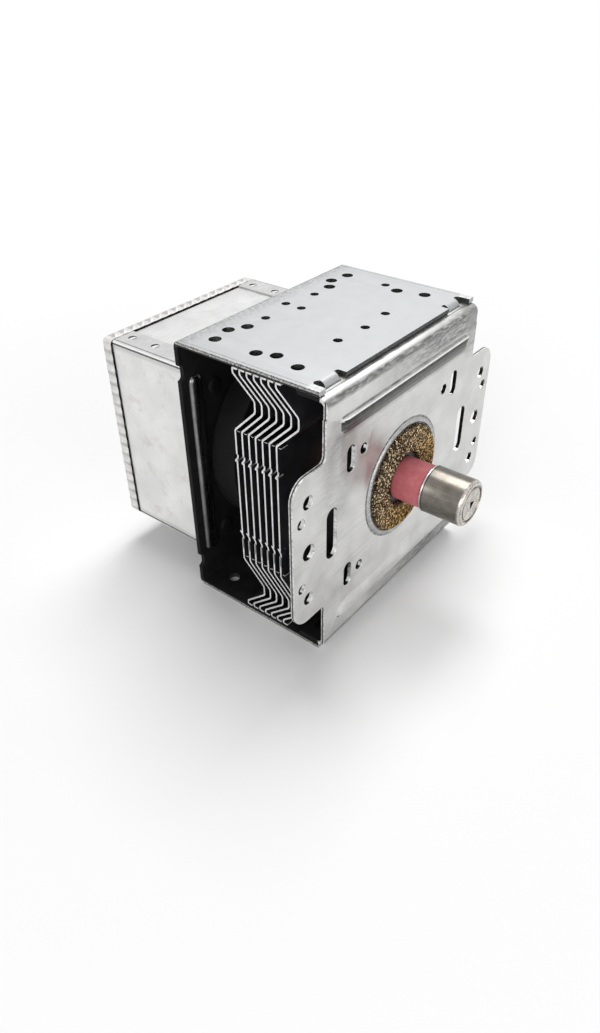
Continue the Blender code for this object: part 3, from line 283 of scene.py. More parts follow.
zincLook = dict(
    metallic=0.80, rough=(0.30, 0.44),
    dark=(0.46, 0.47, 0.475), pale=(0.64, 0.65, 0.65), cloudSize=9.0,
    grainSize=0.35, grainShare=0.40, grainColour=(0.42, 0.43, 0.43),
    lineStretch=(1.6, 1.6, 0.03), lineShare=0.30, lineColour=(0.36, 0.37, 0.37),
    scratchStretch=(0.10, 2.2, 2.2), scratchTurn=(0, 0, 38), scratchShare=0.30,
    scratchColour=0.30,
    stainSize=14.0, stainShare=0.30, stainColour=(0.36, 0.355, 0.34),
    wave=0.20, waveSize=16.0, waveDepth=0.0004, bump=0.12, bumpDepth=0.00005,
    fluteShade=None,          # painted shade in the flutes' valleys: pitch, where the sides start, share, colour
    worn=None,            # depth where it starts and is full, least height, size, share, colour
    marks=[], markStretch=(0.35, 1.6, 1.6), markLeast=0.3,
)
plateLook = dict(
    zincLook, dark=(0.60, 0.595, 0.58), pale=(0.80, 0.795, 0.78), lineStretch=(0.04, 1.6, 1.6),
    stainSize=20.0, marks=[
        # Painted light and shade: a dark band and dark lines on the lower part of the top and bottom bends,
        # a painted highlight on the bends that fades out to the right, broad painted shade on the right
        # part, the right edge and the left neck, a painted shadow under the upper bead, a dark line and a
        # bright line along the beads' outer edges and crests, and dark lines around the collar with a
        # darker collar top
        ("level", 42.35, 0.50, 0.55, 0.90, 0.10, []),
        ("level", 41.35, 0.20, 0.45, 0.60, 0.12, []),
        ("level", 39.2, 1.80, 1.60, 1.00, 0.20, [("across", 16.0, 45.0, 36.0)]),
        ("across", 39.0, 3.00, 4.00, 0.80, 0.28, [("level", 31.0, 45.0, 6.0)]),
        ("across", -36.0, 3.00, 6.00, 0.45, 0.30, [("height", 5.0, 29.0, 4.0)]),
        ("height", 30.3, 0.40, 0.80, 0.60, 0.26, [("side", 0.0, 34.0, 2.0)]),
        ("depth", -26.6, 0.50, 0.40, 0.80, 0.93, [("level", 42.6, 44.5), ("across", -45.0, 0.0, 24.0)]),
        ("depth", -26.6, 0.60, 0.40, 0.55, 0.24, [("level", 42.6, 44.5), ("across", 30.0, 45.0, 26.0)]),
        ("depth", -25.4, 0.10, 0.25, 0.90, 0.13, [("level", 43.0, 44.5)]),
        ("level", 35.75, 0.15, 0.30, 0.80, 0.08, [("side", 0.0, 33.0)]),
        ("level", 35.15, 0.08, 0.12, 0.90, 0.97, [("side", 0.0, 34.2)]),
        ("ring", 19.95, 0.18, 0.20, 0.90, 0.06, []),
        ("ring", 18.9, 0.55, 0.30, 0.72, 0.24, []),
        ("ring", 18.1, 0.12, 0.15, 0.80, 0.06, []),
    ])
# The beads' downward slopes: painted shade, darker under the crest, with a painted highlight at the beads'
# right ends
beadShadingLook = dict(
    plateLook, dark=(0.030, 0.029, 0.028), pale=(0.11, 0.108, 0.104), cloudSize=1.6,
    grainColour=(0.14, 0.137, 0.13), stainShare=0.0, marks=[
        ("height", 34.30, 0.35, 0.45, 1.00, 0.02, []),
        ("height", 31.1, 0.50, 0.70, 0.60, 0.26, []),
        ("across", 34.4, 0.50, 0.40, 1.00, 0.95, [("level", 32.2, 35.2)]),
    ])
yokeLook = dict(
    zincLook, dark=(0.422, 0.430, 0.437), pale=(0.452, 0.460, 0.467), cloudSize=5.0,
    rough=(0.52, 0.56), grainSize=0.30, grainShare=0.50, stainShare=0.08, wave=0.02, bump=0.08,
    lineStretch=(1.5, 0.04, 1.5), lineShare=0.08, worn=(19.0, 25.5, 44.5, 1.2, 0.75, (0.12, 0.116, 0.11)),
    markStretch=(0.8, 0.8, 0.8), markLeast=0.1, marks=[
        # Marks: a thin dark line along the start of the rear bend, thin dark lines just inside the side
        # edges, and a painted highlight on the fingers' tops
        ("depth", 24.6, 0.10, 0.30, 0.80, 0.16, [("level", 45.0, 46.0)]),
        ("side", 38.9, 0.06, 0.25, 0.70, 0.12, [("level", 45.0, 46.0)]),
        ("side", 38.6, 1.40, 0.60, 0.35, 0.90, [("level", 45.3, 46.0), ("depth", -27.0, -22.2, 1.0)]),
    ])
boxLook = dict(
    zincLook, metallic=0.45, rough=(0.42, 0.54), dark=(0.70, 0.70, 0.695), pale=(0.87, 0.87, 0.865),
    cloudSize=12.0, grainColour=(0.66, 0.65, 0.64), lineShare=0.10, stainSize=7.0, stainShare=0.55,
    stainColour=(0.54, 0.50, 0.46), markLeast=0.7, marks=[
        # Marks: the top between the flaps and the flaps' tops are darker; painted shade lines at the flaps'
        # inner edges, painted light on the clinches' floors, and, along each flap's rounded outer edge,
        # painted shade lines above and below a painted highlight, with broad painted shade on the side just
        # under it
        ("level", 33.62, 0.10, 0.06, 0.62, 0.48, [("side", -1.0, 25.4)]),
        ("side", 25.45, 0.03, 0.12, 0.60, 0.30, [("level", 33.2, 35.0)]),
        ("side", 29.8, 4.20, 0.20, 0.80, 0.42, [("level", 34.27, 35.0)]),
        ("side", 29.3, 1.30, 0.10, 1.00, 0.95, [("level", 33.6, 34.0)]),
        ("level", 32.4, 0.30, 1.00, 0.35, 0.30, [("side", 34.2, 35.0)]),
        ("level", 33.15, 0.20, 0.16, 1.00, 0.02, [("side", 34.2, 35.0)]),
        ("level", 33.75, 0.10, 0.08, 0.95, 0.99, [("side", 33.8, 35.0)]),
        ("side", 33.62, 0.10, 0.16, 0.95, 0.08, [("level", 34.0, 35.0)]),
    ])
skirtLook = dict(boxLook, dark=(0.60, 0.595, 0.58), pale=(0.84, 0.83, 0.81), cloudSize=3.0,
                 metallic=0.35, rough=(0.40, 0.55), marks=[],
                 fluteShade=(3.9, (34.9, 35.0), 0.55, (0.30, 0.295, 0.29)))
lidLook = dict(zincLook, metallic=0.70, dark=0.56, pale=(0.72, 0.72, 0.715), stainShare=0.15,
               rough=(0.34, 0.44))


def shearedEdge(name, dark, pale, size, marks=()):
    material, tree, shader = newFinish(name, Metallic=0.6)
    place = surfacePlace(tree)
    torn = rescale(grain(place, size, 4, 0.7), 0.38, 0.62)
    colour = addMarks(place, blend(torn, dark, pale), marks, (0.6, 0.6, 0.6), 1.0)
    endFinish(shader, colour, patches(place, size * 2, 2, 0.35, 0.6), [(torn, 0.5, 0.0001)])
    return material


def cloudy(name, dark, pale, rough, sizes, bump, fleck=None, **sockets):
    # sizes are the clouds' and the roughness' (size, detail), a bump is (size, detail, strength, depth)
    material, tree, shader = newFinish(name, **sockets)
    place = surfacePlace(tree)
    colour = blend(patches(place, *sizes[0]), dark, pale)
    if fleck:
        dots = rescale(grain(place, 0.28, 2), 0.60, 0.72, 0, 0.45)
        colour = blend(dots, colour, fleck)
    size, detail, strength, depth = bump
    endFinish(shader, colour, patches(place, *sizes[1], *rough),
              [(grain(place, size, detail), strength, depth)])
    return material


def darkSheet(name, dark, pale, rough, specular=0.3):
    return cloudy(name, dark, pale, rough, ((6.0, 4), (3.0, 3)), (0.6, 2, 0.15, 0.00005),
                  Specular_IOR_Level=specular)


def ceramic(name, deep, pale, fleck, rough):
    return cloudy(name, deep, pale, rough, ((2.6, 4), (1.2, 3)), (0.25, 3, 0.35, 0.00006), fleck,
                  Subsurface_Weight=0.04, Subsurface_Radius=(0.002, 0.0008, 0.0008))


def drawnMetal(name, dark, pale, rough, stretch, metallic=1.0, bump=0.25):   # grain along one way
    material, tree, shader = newFinish(name, Metallic=metallic)
    streak = grain(surfacePlace(tree, stretch), 1.0, 3, 0.65)
    cloud = grain(surfacePlace(tree), 3.5)
    share = rescale(combine("ADD", streak, cloud), 0.75, 1.25)
    endFinish(shader, blend(share, dark, pale), rescale(streak, 0.3, 0.7, *rough),
              [(streak, bump, 0.00004)])
    return material


def capMetal():                      # drawn along its side, turned in rings on its face
    material, tree, shader = newFinish("capSteel", Metallic=1.0)
    place = surfacePlace(tree)
    sizes = measures(place)
    streak = grain(surfacePlace(tree, (3.0, 0.16, 3.0)), 1.0, 3, 0.65)
    rings = addNode(tree, "TexNoise", {"W": sizes["ring"], "Scale": 2.4, "Detail": 3.0},
                    noise_dimensions="1D").outputs["Fac"]
    share = combine("ADD", combine("ADD", streak, rings), grain(place, 2.4))
    share = rescale(share, 1.15, 1.85)
    # The side is painted dark as shade and the face pale as light: lit and shaded copies of one steel
    side = blend(share, (0.130, 0.118, 0.101), (0.205, 0.190, 0.167))
    face = blend(share, (0.26, 0.24, 0.21), (0.78, 0.74, 0.69))
    colour = blend(rescale(sizes["depth"], -52.2, -51.6, 1, 0), side, face)
    # The marks paint a shade line and a highlight at the rear lip
    colour = addMarks(place, colour, [
        ("depth", -39.75, 0.10, 0.15, 0.9, 0.03, [("ring", 7.2, 8.0)]),
        ("depth", -39.15, 0.18, 0.15, 0.9, 0.75, [("ring", 7.2, 8.0)])], (0.8, 0.8, 0.8), 0.5)
    endFinish(shader, colour, rescale(streak, 0.3, 0.7, 0.25, 0.31), [(rings, 0.6, 0.0001)])
    return material


def wireMetal():                     # steel that turns to brass towards the lower left
    material, tree, shader = newFinish("knittedBrassWire", Metallic=0.85)
    place = surfacePlace(tree)
    spot = addNode(tree, "SeparateXYZ", {"Vector": place}).outputs
    lower = rescale(combine("SUBTRACT", spot[0], spot[2]), -60, -30)
    patch = rescale(grain(place, 1.6, 4, 0.7), 0.35, 0.65)
    steel = blend(patch, (0.10, 0.068, 0.032), (0.86, 0.71, 0.48))
    brass = blend(patch, (0.09, 0.045, 0.010), (0.78, 0.48, 0.15))
    dull = rescale(grain(place, 0.65, 2), 0.48, 0.58)
    colour = blend(dull, (0.045, 0.026, 0.010), blend(lower, steel, brass))
    endFinish(shader, colour, rescale(patch, 0, 1, 0.24, 0.42), [(grain(place, 0.12, 2), 0.3, 0.00003)])
    return material


zinc = sheetMetal("zincSheet", zincLook)
plateZinc = sheetMetal("zincPlate", plateLook)
beadShadingZinc = sheetMetal("zincBeadShading", beadShadingLook)
yokeZinc = sheetMetal("zincYoke", yokeLook)
boxZinc = sheetMetal("zincBox", boxLook)
skirtZinc = sheetMetal("zincSkirt", skirtLook)
lidZinc = sheetMetal("zincLid", lidLook)
# Inner faces painted near black: painted shade
insideShade = darkSheet("insideShade", (0.006, 0.006, 0.007), (0.013, 0.013, 0.014), (0.40, 0.55))
# Walls of the yoke's holes and notches, painted dark: painted shade
holeShade = shearedEdge("holeShade", 0.020, (0.075, 0.073, 0.07), 0.6)
# Fin faces painted near black: painted shade
finShade = darkSheet("finFaceShade", (0.012, 0.012, 0.014), (0.024, 0.024, 0.028), (0.3, 0.45))
# Cut edges of the yoke and lid: a thin dark line near the top sheet's upper edge, and painted shade, near
# black, along its lower side and on every cut below it
cutEdgeAndShade = shearedEdge("shearedEdge", (0.10, 0.098, 0.095), (0.66, 0.65, 0.63), 0.7, [
    ("level", 45.15, 0.05, 0.14, 0.80, 0.05, []),
    ("level", 44.1, 0.30, 0.22, 1.00, 0.012, []),
    ("level", 21.6, 22.8, 0.2, 1.00, 0.012, []),
])
# The yoke's front cuts in the notches behind the plate's flange: painted shade
frontEdgeShade = shearedEdge("frontEdgeShade", 0.035, 0.13, 0.5, [
    ("level", 44.15, 0.12, 0.12, 0.95, 0.010, []),
])
# Cut edges of the plate: a dark line along their middle, and painted shade, near black, on the flanges'
# side cuts
plateEdgeAndShade = shearedEdge("plateEdgeAndShade", 0.36, (0.82, 0.82, 0.81), 0.9, [
    ("depth", -27.60, 0.14, 0.16, 1.00, 0.03, []),
    ("depth", -21.3, 3.60, 0.60, 1.00, 0.008, [("level", 41.6, 44.5)]),
])
slotWall = drawnMetal("slotWall", 0.34, (0.80, 0.80, 0.79), (0.12, 0.26), (0.8, 0.2, 0.8), 1.0, 0.1)
ribSteel = drawnMetal("ribSteel", 0.17, 0.27, (0.24, 0.30), (0.5, 0.5, 0.04), 1.0, 0.05)
finEdge = drawnMetal("finEdge", 0.60, 0.86, (0.3, 0.45), (3.0, 3.0, 0.2), 0.4)
pinkCeramic = ceramic("pinkCeramic", (0.44, 0.100, 0.113), (0.55, 0.155, 0.172),
                      (0.28, 0.055, 0.065), (0.48, 0.62))
whiteCeramic = ceramic("whiteCeramic", (0.78, 0.76, 0.72), (0.86, 0.84, 0.81), (0.70, 0.68, 0.64),
                       (0.45, 0.6))
capSteel = capMetal()
# Near black for the front seal cup: painted shade
sealCupShade = darkSheet("sealCupShade", (0.012, 0.011, 0.010), (0.05, 0.047, 0.043), (0.4, 0.6))
sealMetal = drawnMetal("sealMetal", (0.40, 0.38, 0.35), (0.62, 0.60, 0.56), (0.3, 0.5), (2.0, 0.2, 2.0))
copper = drawnMetal("copper", (0.34, 0.16, 0.10), (0.50, 0.27, 0.18), (0.4, 0.6), (1.6, 0.2, 1.6))
poleSteel = drawnMetal("poleSteel", 0.28, 0.48, (0.35, 0.55), (1.2, 1.2, 1.2))
# Black ferrite for the magnets and choke cores, also put as painted shade on the rivets and on cuts that
# lie in shadow
ferrite = darkSheet("ferrite", (0.004, 0.004, 0.005), (0.009, 0.009, 0.010), (0.6, 0.8), 0.15)
tungsten = drawnMetal("tungsten", (0.24, 0.24, 0.25), (0.42, 0.42, 0.43), (0.4, 0.55), (2.0, 0.4, 2.0))
enamelWire = drawnMetal("enamelWire", (0.34, 0.11, 0.05), (0.55, 0.22, 0.10), (0.25, 0.4),
                        (1.5, 1.5, 1.5), 0.35)
knittedWire = wireMetal()
# Dark core under the gasket's wires: painted shade between them
wireCoreShade = darkSheet("wireCoreShade", (0.008, 0.005, 0.003), (0.020, 0.013, 0.007), (0.6, 0.8), 0.1)
capacitorPlastic = cloudy("capacitorPlastic", (0.020, 0.035, 0.11), (0.030, 0.050, 0.15), (0.42, 0.6),
                          ((4.0, 4), (4.0, 4)), (0.2, 2, 0.25, 0.00004))
tinnedBrass = drawnMetal("tinnedBrass", (0.55, 0.54, 0.52), (0.78, 0.77, 0.74), (0.28, 0.42),
                         (0.3, 2.0, 2.0))
print("finishes made")


# Tools shared by the pieces

def pieceFrom(bm, name, *finishes):
    mesh = bpy.data.meshes.new(name)
    bm.to_mesh(mesh)
    bm.free()
    for material in finishes:
        mesh.materials.append(material)
    return addObject(name, mesh)


def discard(piece):
    mesh = piece.data
    bpy.data.objects.remove(piece)
    bpy.data.meshes.remove(mesh)


def meshOf(piece):                   # its mesh with the modifiers applied
    bpy.context.view_layer.update()
    graph = bpy.context.evaluated_depsgraph_get()
    return bpy.data.meshes.new_from_object(piece.evaluated_get(graph), preserve_all_data_layers=True,
                                           depsgraph=graph)


def modify(piece, kind, **settings):
    modifier = piece.modifiers.new(kind.lower(), kind)
    for name, value in settings.items():
        setattr(modifier, name, value)
    old = piece.data
    mesh = meshOf(piece)
    piece.modifiers.clear()
    piece.data = mesh
    bpy.data.meshes.remove(old)


def shape(piece, bm, operation="DIFFERENCE"):      # cuts a bmesh from a piece, or joins it on
    tool = pieceFrom(bm, piece.name + "Tool", *piece.data.materials)
    modify(piece, "BOOLEAN", operation=operation, solver="EXACT", object=tool)
    discard(tool)


def addWall(piece, thickness, rim=2):              # the wall grows away from the faces' front
    modify(piece, "SOLIDIFY", thickness=thickness, offset=-1, use_even_offset=True,
           material_offset=1, material_offset_rim=rim)


def finishPiece(piece, node, edge=0.12, angle=35, segments=2):
    piece.data.shade_smooth()
    if edge:
        modify(piece, "BEVEL", width=edge, segments=segments, limit_method="ANGLE",
               angle_limit=math.radians(angle), use_clamp_overlap=False, harden_normals=True)
    else:
        piece.data.set_sharp_from_angle(angle=math.radians(angle))
    piece.data.transform(Matrix.Scale(0.001, 4))
    piece.data.update()
    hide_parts(node)
    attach(piece, "root")


def paint(bm, index):
    for face in bm.faces:
        face.material_index = index
    return bm


def addBox(bm, corner, opposite):
    middle = (Vector(corner) + Vector(opposite)) / 2
    size = [abs(length) for length in Vector(opposite) - Vector(corner)]
    bmesh.ops.create_cube(bm, size=1, matrix=Matrix.Translation(middle) @ Matrix.Diagonal((*size, 1)))


alongAxis = {
    "X": Matrix.Rotation(math.radians(90), 4, "Y"),
    "Y": Matrix.Rotation(math.radians(-90), 4, "X"),
    "Z": Matrix.Identity(4),
}


def addRod(bm, middle, radius, length=through, axis="Y", steps=holeSteps):
    return bmesh.ops.create_cone(
        bm, cap_ends=True, segments=steps, radius1=radius, radius2=radius, depth=length,
        matrix=Matrix.Translation(middle) @ alongAxis[axis])["verts"]


def pullApart(verts, middle, stretch):       # moves the upper half up and the lower half down
    for vert in verts:
        vert.co.z += stretch if vert.co.z > middle[2] - tiny else -stretch
    return verts


def addBar(bm, middle, width, height, length=through, axis="Y"):     # a bar with round ends
    return pullApart(addRod(bm, middle, width / 2, length, axis), middle, (height - width) / 2)


def addRib(bm, middle, width, length, rise):       # a long rounded bead
    place = Matrix.Translation(middle) @ Matrix.Diagonal((width / 2, rise, width / 2, 1))
    ball = bmesh.ops.create_uvsphere(bm, u_segments=32, v_segments=20, radius=1, matrix=place)
    pullApart(ball["verts"], middle, (length - width) / 2)


def roundOff(bm, geom, radius, segments=6, affect="EDGES"):
    bmesh.ops.bevel(bm, geom=geom, offset=radius, offset_type="OFFSET", segments=segments,
                    profile=0.5, affect=affect, material=-1)


def mergeDoubles(bm):
    bmesh.ops.remove_doubles(bm, verts=bm.verts, dist=tiny / 2)


def turned(name, profile, finishes, rounds=(), closed=True, steps=roundSteps):
    # a wire of (radius, y) points, its corners rounded by rounds, spun about the tube's axis
    bm = bmesh.new()
    verts = [bm.verts.new((radius, y, 0)) for radius, y in profile]
    for pair in zip(verts, verts[1:]):
        bm.edges.new(pair)
    if closed:
        bm.edges.new((verts[-1], verts[0]))
    for corner, radius in rounds:
        roundOff(bm, [verts[corner]], radius, affect="VERTICES")
    bmesh.ops.spin(bm, geom=bm.verts[:] + bm.edges[:], cent=(0, 0, 0), axis=(0, 1, 0),
                   angle=math.tau, steps=steps, use_merge=True)
    mergeDoubles(bm)
    bmesh.ops.recalc_face_normals(bm, faces=bm.faces)
    bmesh.ops.translate(bm, verts=bm.verts, vec=(0, 0, axisHeight))
    return pieceFrom(bm, name, *finishes)


def pick(items, kind):
    return [item for item in items if isinstance(item, kind)]


def edgesWhere(bm, test):            # the edges whose two ends pass the test
    return [edge for edge in bm.edges if all(test(vert.co) for vert in edge.verts)]


def extrudeBy(bm, edges, move):
    made = bmesh.ops.extrude_edge_only(bm, edges=edges)["geom"]
    bmesh.ops.translate(bm, verts=pick(made, bmesh.types.BMVert), vec=move)
    return pick(made, bmesh.types.BMEdge)


def rollBy(bm, edges, centre, turn, steps, move):      # a quarter turn, then straight on
    last = bmesh.ops.spin(bm, geom=edges, cent=centre, axis=(1, 0, 0), steps=steps,
                          angle=turn * math.pi / 2)["geom_last"]
    extrudeBy(bm, pick(last, bmesh.types.BMEdge), move)


def drawSheet(path, left, right):                  # (y, z) corners drawn along X
    bm = bmesh.new()
    verts = [bm.verts.new((left, y, z)) for y, z in path]
    extrudeBy(bm, [bm.edges.new(pair) for pair in zip(verts, verts[1:])], (right - left, 0, 0))
    return bm


def roundBend(bm, place, radius, segments=6):      # place is the (y, z) of a crossing edge
    roundOff(bm, edgesWhere(bm, lambda spot: math.dist(spot.yz, place) < tiny), radius, segments)


def cutAcross(bm, place, normal):
    bmesh.ops.bisect_plane(bm, geom=bm.verts[:] + bm.edges[:] + bm.faces[:], dist=0.0001,
                           plane_co=place, plane_no=normal)


def faceOut(bm, direction):                        # the lowest face of an open sheet looks that way
    bmesh.ops.recalc_face_normals(bm, faces=bm.faces)
    bm.normal_update()
    lowest = min(bm.faces, key=lambda face: face.calc_center_median().z)
    if lowest.normal.dot(Vector(direction)) < 0:
        bmesh.ops.reverse_faces(bm, faces=bm.faces)


def bothHalves(*places):
    return [(side * x, axisHeight + level * z, *rest)
            for x, z, *rest in places for side, level in quarters]


# Steel yoke

yoke = dict(
    halfWidth=40.0, height=91.0, front=-26.05, rear=26.05,
    sheet=1.5, bend=2.0, recess=1.2,
    finger=2.7, outerNotch=2.5, tongue=6.3, innerNotch=1.7, notchDepth=4.6,
    tongueStart=4.0, tongueRoll=2.0, tongueDrop=0.6,
    wide=3.7, narrow=2.7,
    topPairs=[                # x, distance from the rear face, wide or narrow, on both sides
        (32.2, 9.1, "wide"), (25.1, 7.7, "wide"), (20.1, 10.6, "wide"), (12.0, 10.7, "narrow"),
        (30.1, 30.0, "wide"), (32.2, 39.0, "wide"), (12.1, 37.4, "narrow"),
    ],
    topHoles=[                # the same, on one side or in the middle
        (0.4, 8.4, "narrow"), (0.4, 14.5, "narrow"), (0.0, 38.4, "narrow"), (-32.2, 24.4, "wide"),
        (32.2, 24.3, "narrow"),
    ],
    bottomPairs=[(32.2, 9.1), (32.2, 39.0)],
    ribPlace=34.4, ribWidth=5.0, ribLength=66.0, ribRise=1.2, grooveDepth=0.9,
    sideNotchPlace=35.2, sideNotchHalf=2.5, sideNotchDepth=1.4,
    rivetPlace=(27.0, 26.6), rivetHole=3.6, stemHole=12.0,
    legFrom=43.5, rimFrom=24.4,        # where the legs and the rear wall's rim start
)


def makeYoke():
    y = yoke
    half, front, rear, top = y["halfWidth"], y["front"], y["rear"], y["height"]
    finger = half - y["finger"]
    tongueOut = finger - y["outerNotch"]
    tongueIn = tongueOut - y["tongue"]
    middle = tongueIn - y["innerNotch"]
    edge = front + y["recess"]
    roll = front + y["tongueStart"]
    notchMiddle = front + y["notchDepth"] - y["outerNotch"] / 2
    bm = drawSheet([(front, top), (rear, top), (rear, 0), (front, 0)], -half, half)
    for level in (top, 0):
        roundBend(bm, (rear, level), y["bend"])
    for place in (middle, tongueIn, tongueOut, finger):
        for side in (-1, 1):
            cutAcross(bm, (side * place, 0, 0), (1, 0, 0))
    for place in (edge, roll, notchMiddle):
        cutAcross(bm, (0, place, 0), (0, 1, 0))

    def isOpen(face):
        spot = face.calc_center_median()
        x = abs(spot.x)
        if tongueIn < x < tongueOut:
            return spot.y < roll
        if middle < x < finger:
            return spot.y < notchMiddle
        return x < middle and spot.y < edge

    bmesh.ops.delete(bm, geom=[face for face in bm.faces if isOpen(face)], context="FACES")
    for level, turn in ((top, 1), (0, -1)):
        for side in (-1, 1):
            start = edgesWhere(bm, lambda spot: math.dist(spot.yz, (roll, level)) < tiny
                               and tongueIn - tiny < side * spot.x < tongueOut + tiny)
            rollBy(bm, start, (0, roll, level - turn * y["tongueRoll"]), turn, 8,
                   (0, 0, -turn * y["tongueDrop"]))
    mergeDoubles(bm)
    faceOut(bm, (0, 0, -1))
    sheet, cut, hole, rib, shadowedFront, shadowedRim = 0, 2, 3, 4, 5, 6
    piece = pieceFrom(bm, "yokeSheet", yokeZinc, insideShade, cutEdgeAndShade, holeShade, ribSteel, frontEdgeShade,
                      ferrite)
    addWall(piece, y["sheet"], cut)

    holes = bmesh.new()
    pairs = [(side * x, *rest) for x, *rest in y["topPairs"] for side in (1, -1)]
    for x, back, size in pairs + y["topHoles"]:
        addRod(holes, (x, rear - back, top), y[size] / 2, axis="Z")
    for x, back in y["bottomPairs"]:
        for side in (1, -1):
            addRod(holes, (side * x, rear - back, 0), y["wide"] / 2, axis="Z")
    for x, z in bothHalves(y["rivetPlace"]):
        addRod(holes, (x, rear, z), y["rivetHole"] / 2)
    addRod(holes, (0, rear, axisHeight), y["stemHole"], steps=roundSteps)
    shape(piece, paint(holes, hole))
    notches = bmesh.new()
    for x, z in bothHalves((half, y["sideNotchPlace"])):
        addBar(notches, (x, rear, z), 2 * y["sideNotchDepth"], 2 * y["sideNotchHalf"])
    shape(piece, paint(notches, cut))
    for inner, outer in ((tongueOut, finger), (middle, tongueIn)):
        ends = bmesh.new()
        for side in (-1, 1):
            for level in (0, top):
                addRod(ends, (side * (inner + outer) / 2, notchMiddle, level),
                       (outer - inner) / 2 - close, axis="Z")
        shape(piece, paint(ends, hole))

    fingerFrom = finger + 0.05
    # Near-black finishes paint shade onto the cuts behind the plate's flange and onto the rear wall's side
    # cuts; the fingers' front cuts keep the sheet's finish, without the painted shade
    for face in piece.data.polygons:     # cuts that lie in shadow behind the plate's flange
        if face.material_index != cut:
            continue
        spot, away = face.center, abs(face.center.z - axisHeight)
        looksForward = face.normal.y < -0.7
        inNotch = abs(spot.x) < fingerFrom and spot.y < notchMiddle + y["outerNotch"]
        if inNotch and away > y["legFrom"]:
            face.material_index = shadowedFront if abs(spot.x) < middle and looksForward else hole
        elif spot.y > y["rimFrom"] and away < y["legFrom"]:
            face.material_index = shadowedRim
        elif abs(spot.x) > fingerFrom and looksForward:
            face.material_index = sheet
    ribs, grooves = bmesh.new(), bmesh.new()
    for side in (-1, 1):
        x = side * y["ribPlace"]
        addRib(ribs, (x, rear - y["sheet"], axisHeight), y["ribWidth"], y["ribLength"], y["ribRise"])
        addRib(grooves, (x, rear, axisHeight), y["ribWidth"] / 2, y["ribLength"] - y["ribWidth"],
               y["grooveDepth"])
    shape(piece, paint(ribs, rib), "UNION")
    shape(piece, paint(grooves, sheet))
    finishPiece(piece, "yoke_frame", 0.14)


# Mounting plate

plate = dict(
    face=-28.35, sheet=1.4, bend=2.5, flangeEnd=-18.35, low=1.8, high=89.2,
    halfWidth=40.0, neckWidth=39.6, neckFrom=37.8,
    earReach=54.4, earHalf=25.5, earRound=6.0, earFillet=2.0,
    rounds=[(47.8, 17.0, 4.2), (50.8, 11.5, 3.2), (22.2, 21.3, 3.4)],
    screwPlace=47.6, screwHole=5.2,
    longSlot=(36.9, 5.0, 17.6), shortSlot=(28.4, 21.0, 3.8, 8.6), centreHole=11.0,
    beadEnds=(-33.6, 35.4), beadPlace=32.9, beadHalf=2.7, beadRise=0.98, beadCrest=2.25,
    beadCells=(72, 32), beadDepth=0.6, beadFoot=0.03,
    collarInner=18.1, collarOuter=19.7, collarRise=0.6, collarDepth=0.7,
    collarShoulder=(0.45, 0.09), collarRounds=(0.3, 0.2),
    tongueSlot=(28.2, 35.1, -24.35, -20.5), tongueSlotHalf=3, drill=8,
    beadShadingHalf=36, beadShadingFrom=0.02, shadowFrom=-24.85,
)


def makeBead(level):             # a strip raised to a crest near its outer edge
    p = plate
    left, right = p["beadEnds"]
    reach, crest = p["beadHalf"], p["beadCrest"]
    bm = bmesh.new()
    bmesh.ops.create_grid(bm, x_segments=p["beadCells"][0], y_segments=p["beadCells"][1], size=0.5)
    for vert in bm.verts:
        x = (left + right) / 2 + vert.co.x * (right - left)
        z = vert.co.y * 2 * reach
        across = (z - crest) / (reach - crest) if z > crest else (crest - z) / (reach + crest)
        beyond = max(left + reach - x, 0, x - right + reach) / reach
        climb = min(max(1 - math.hypot(across, beyond), 0), 1)
        rise = p["beadRise"] * (1 + p["beadFoot"]) * climb * (1.5 - 0.5 * climb * climb)
        vert.co = (x, p["face"] + p["beadFoot"] - rise, axisHeight + level * (p["beadPlace"] + z))
    made = bmesh.ops.extrude_face_region(bm, geom=bm.faces[:])["geom"]
    for vert in pick(made, bmesh.types.BMVert):
        vert.co.y = p["face"] + p["beadDepth"]
    bmesh.ops.recalc_face_normals(bm, faces=bm.faces)
    return bm


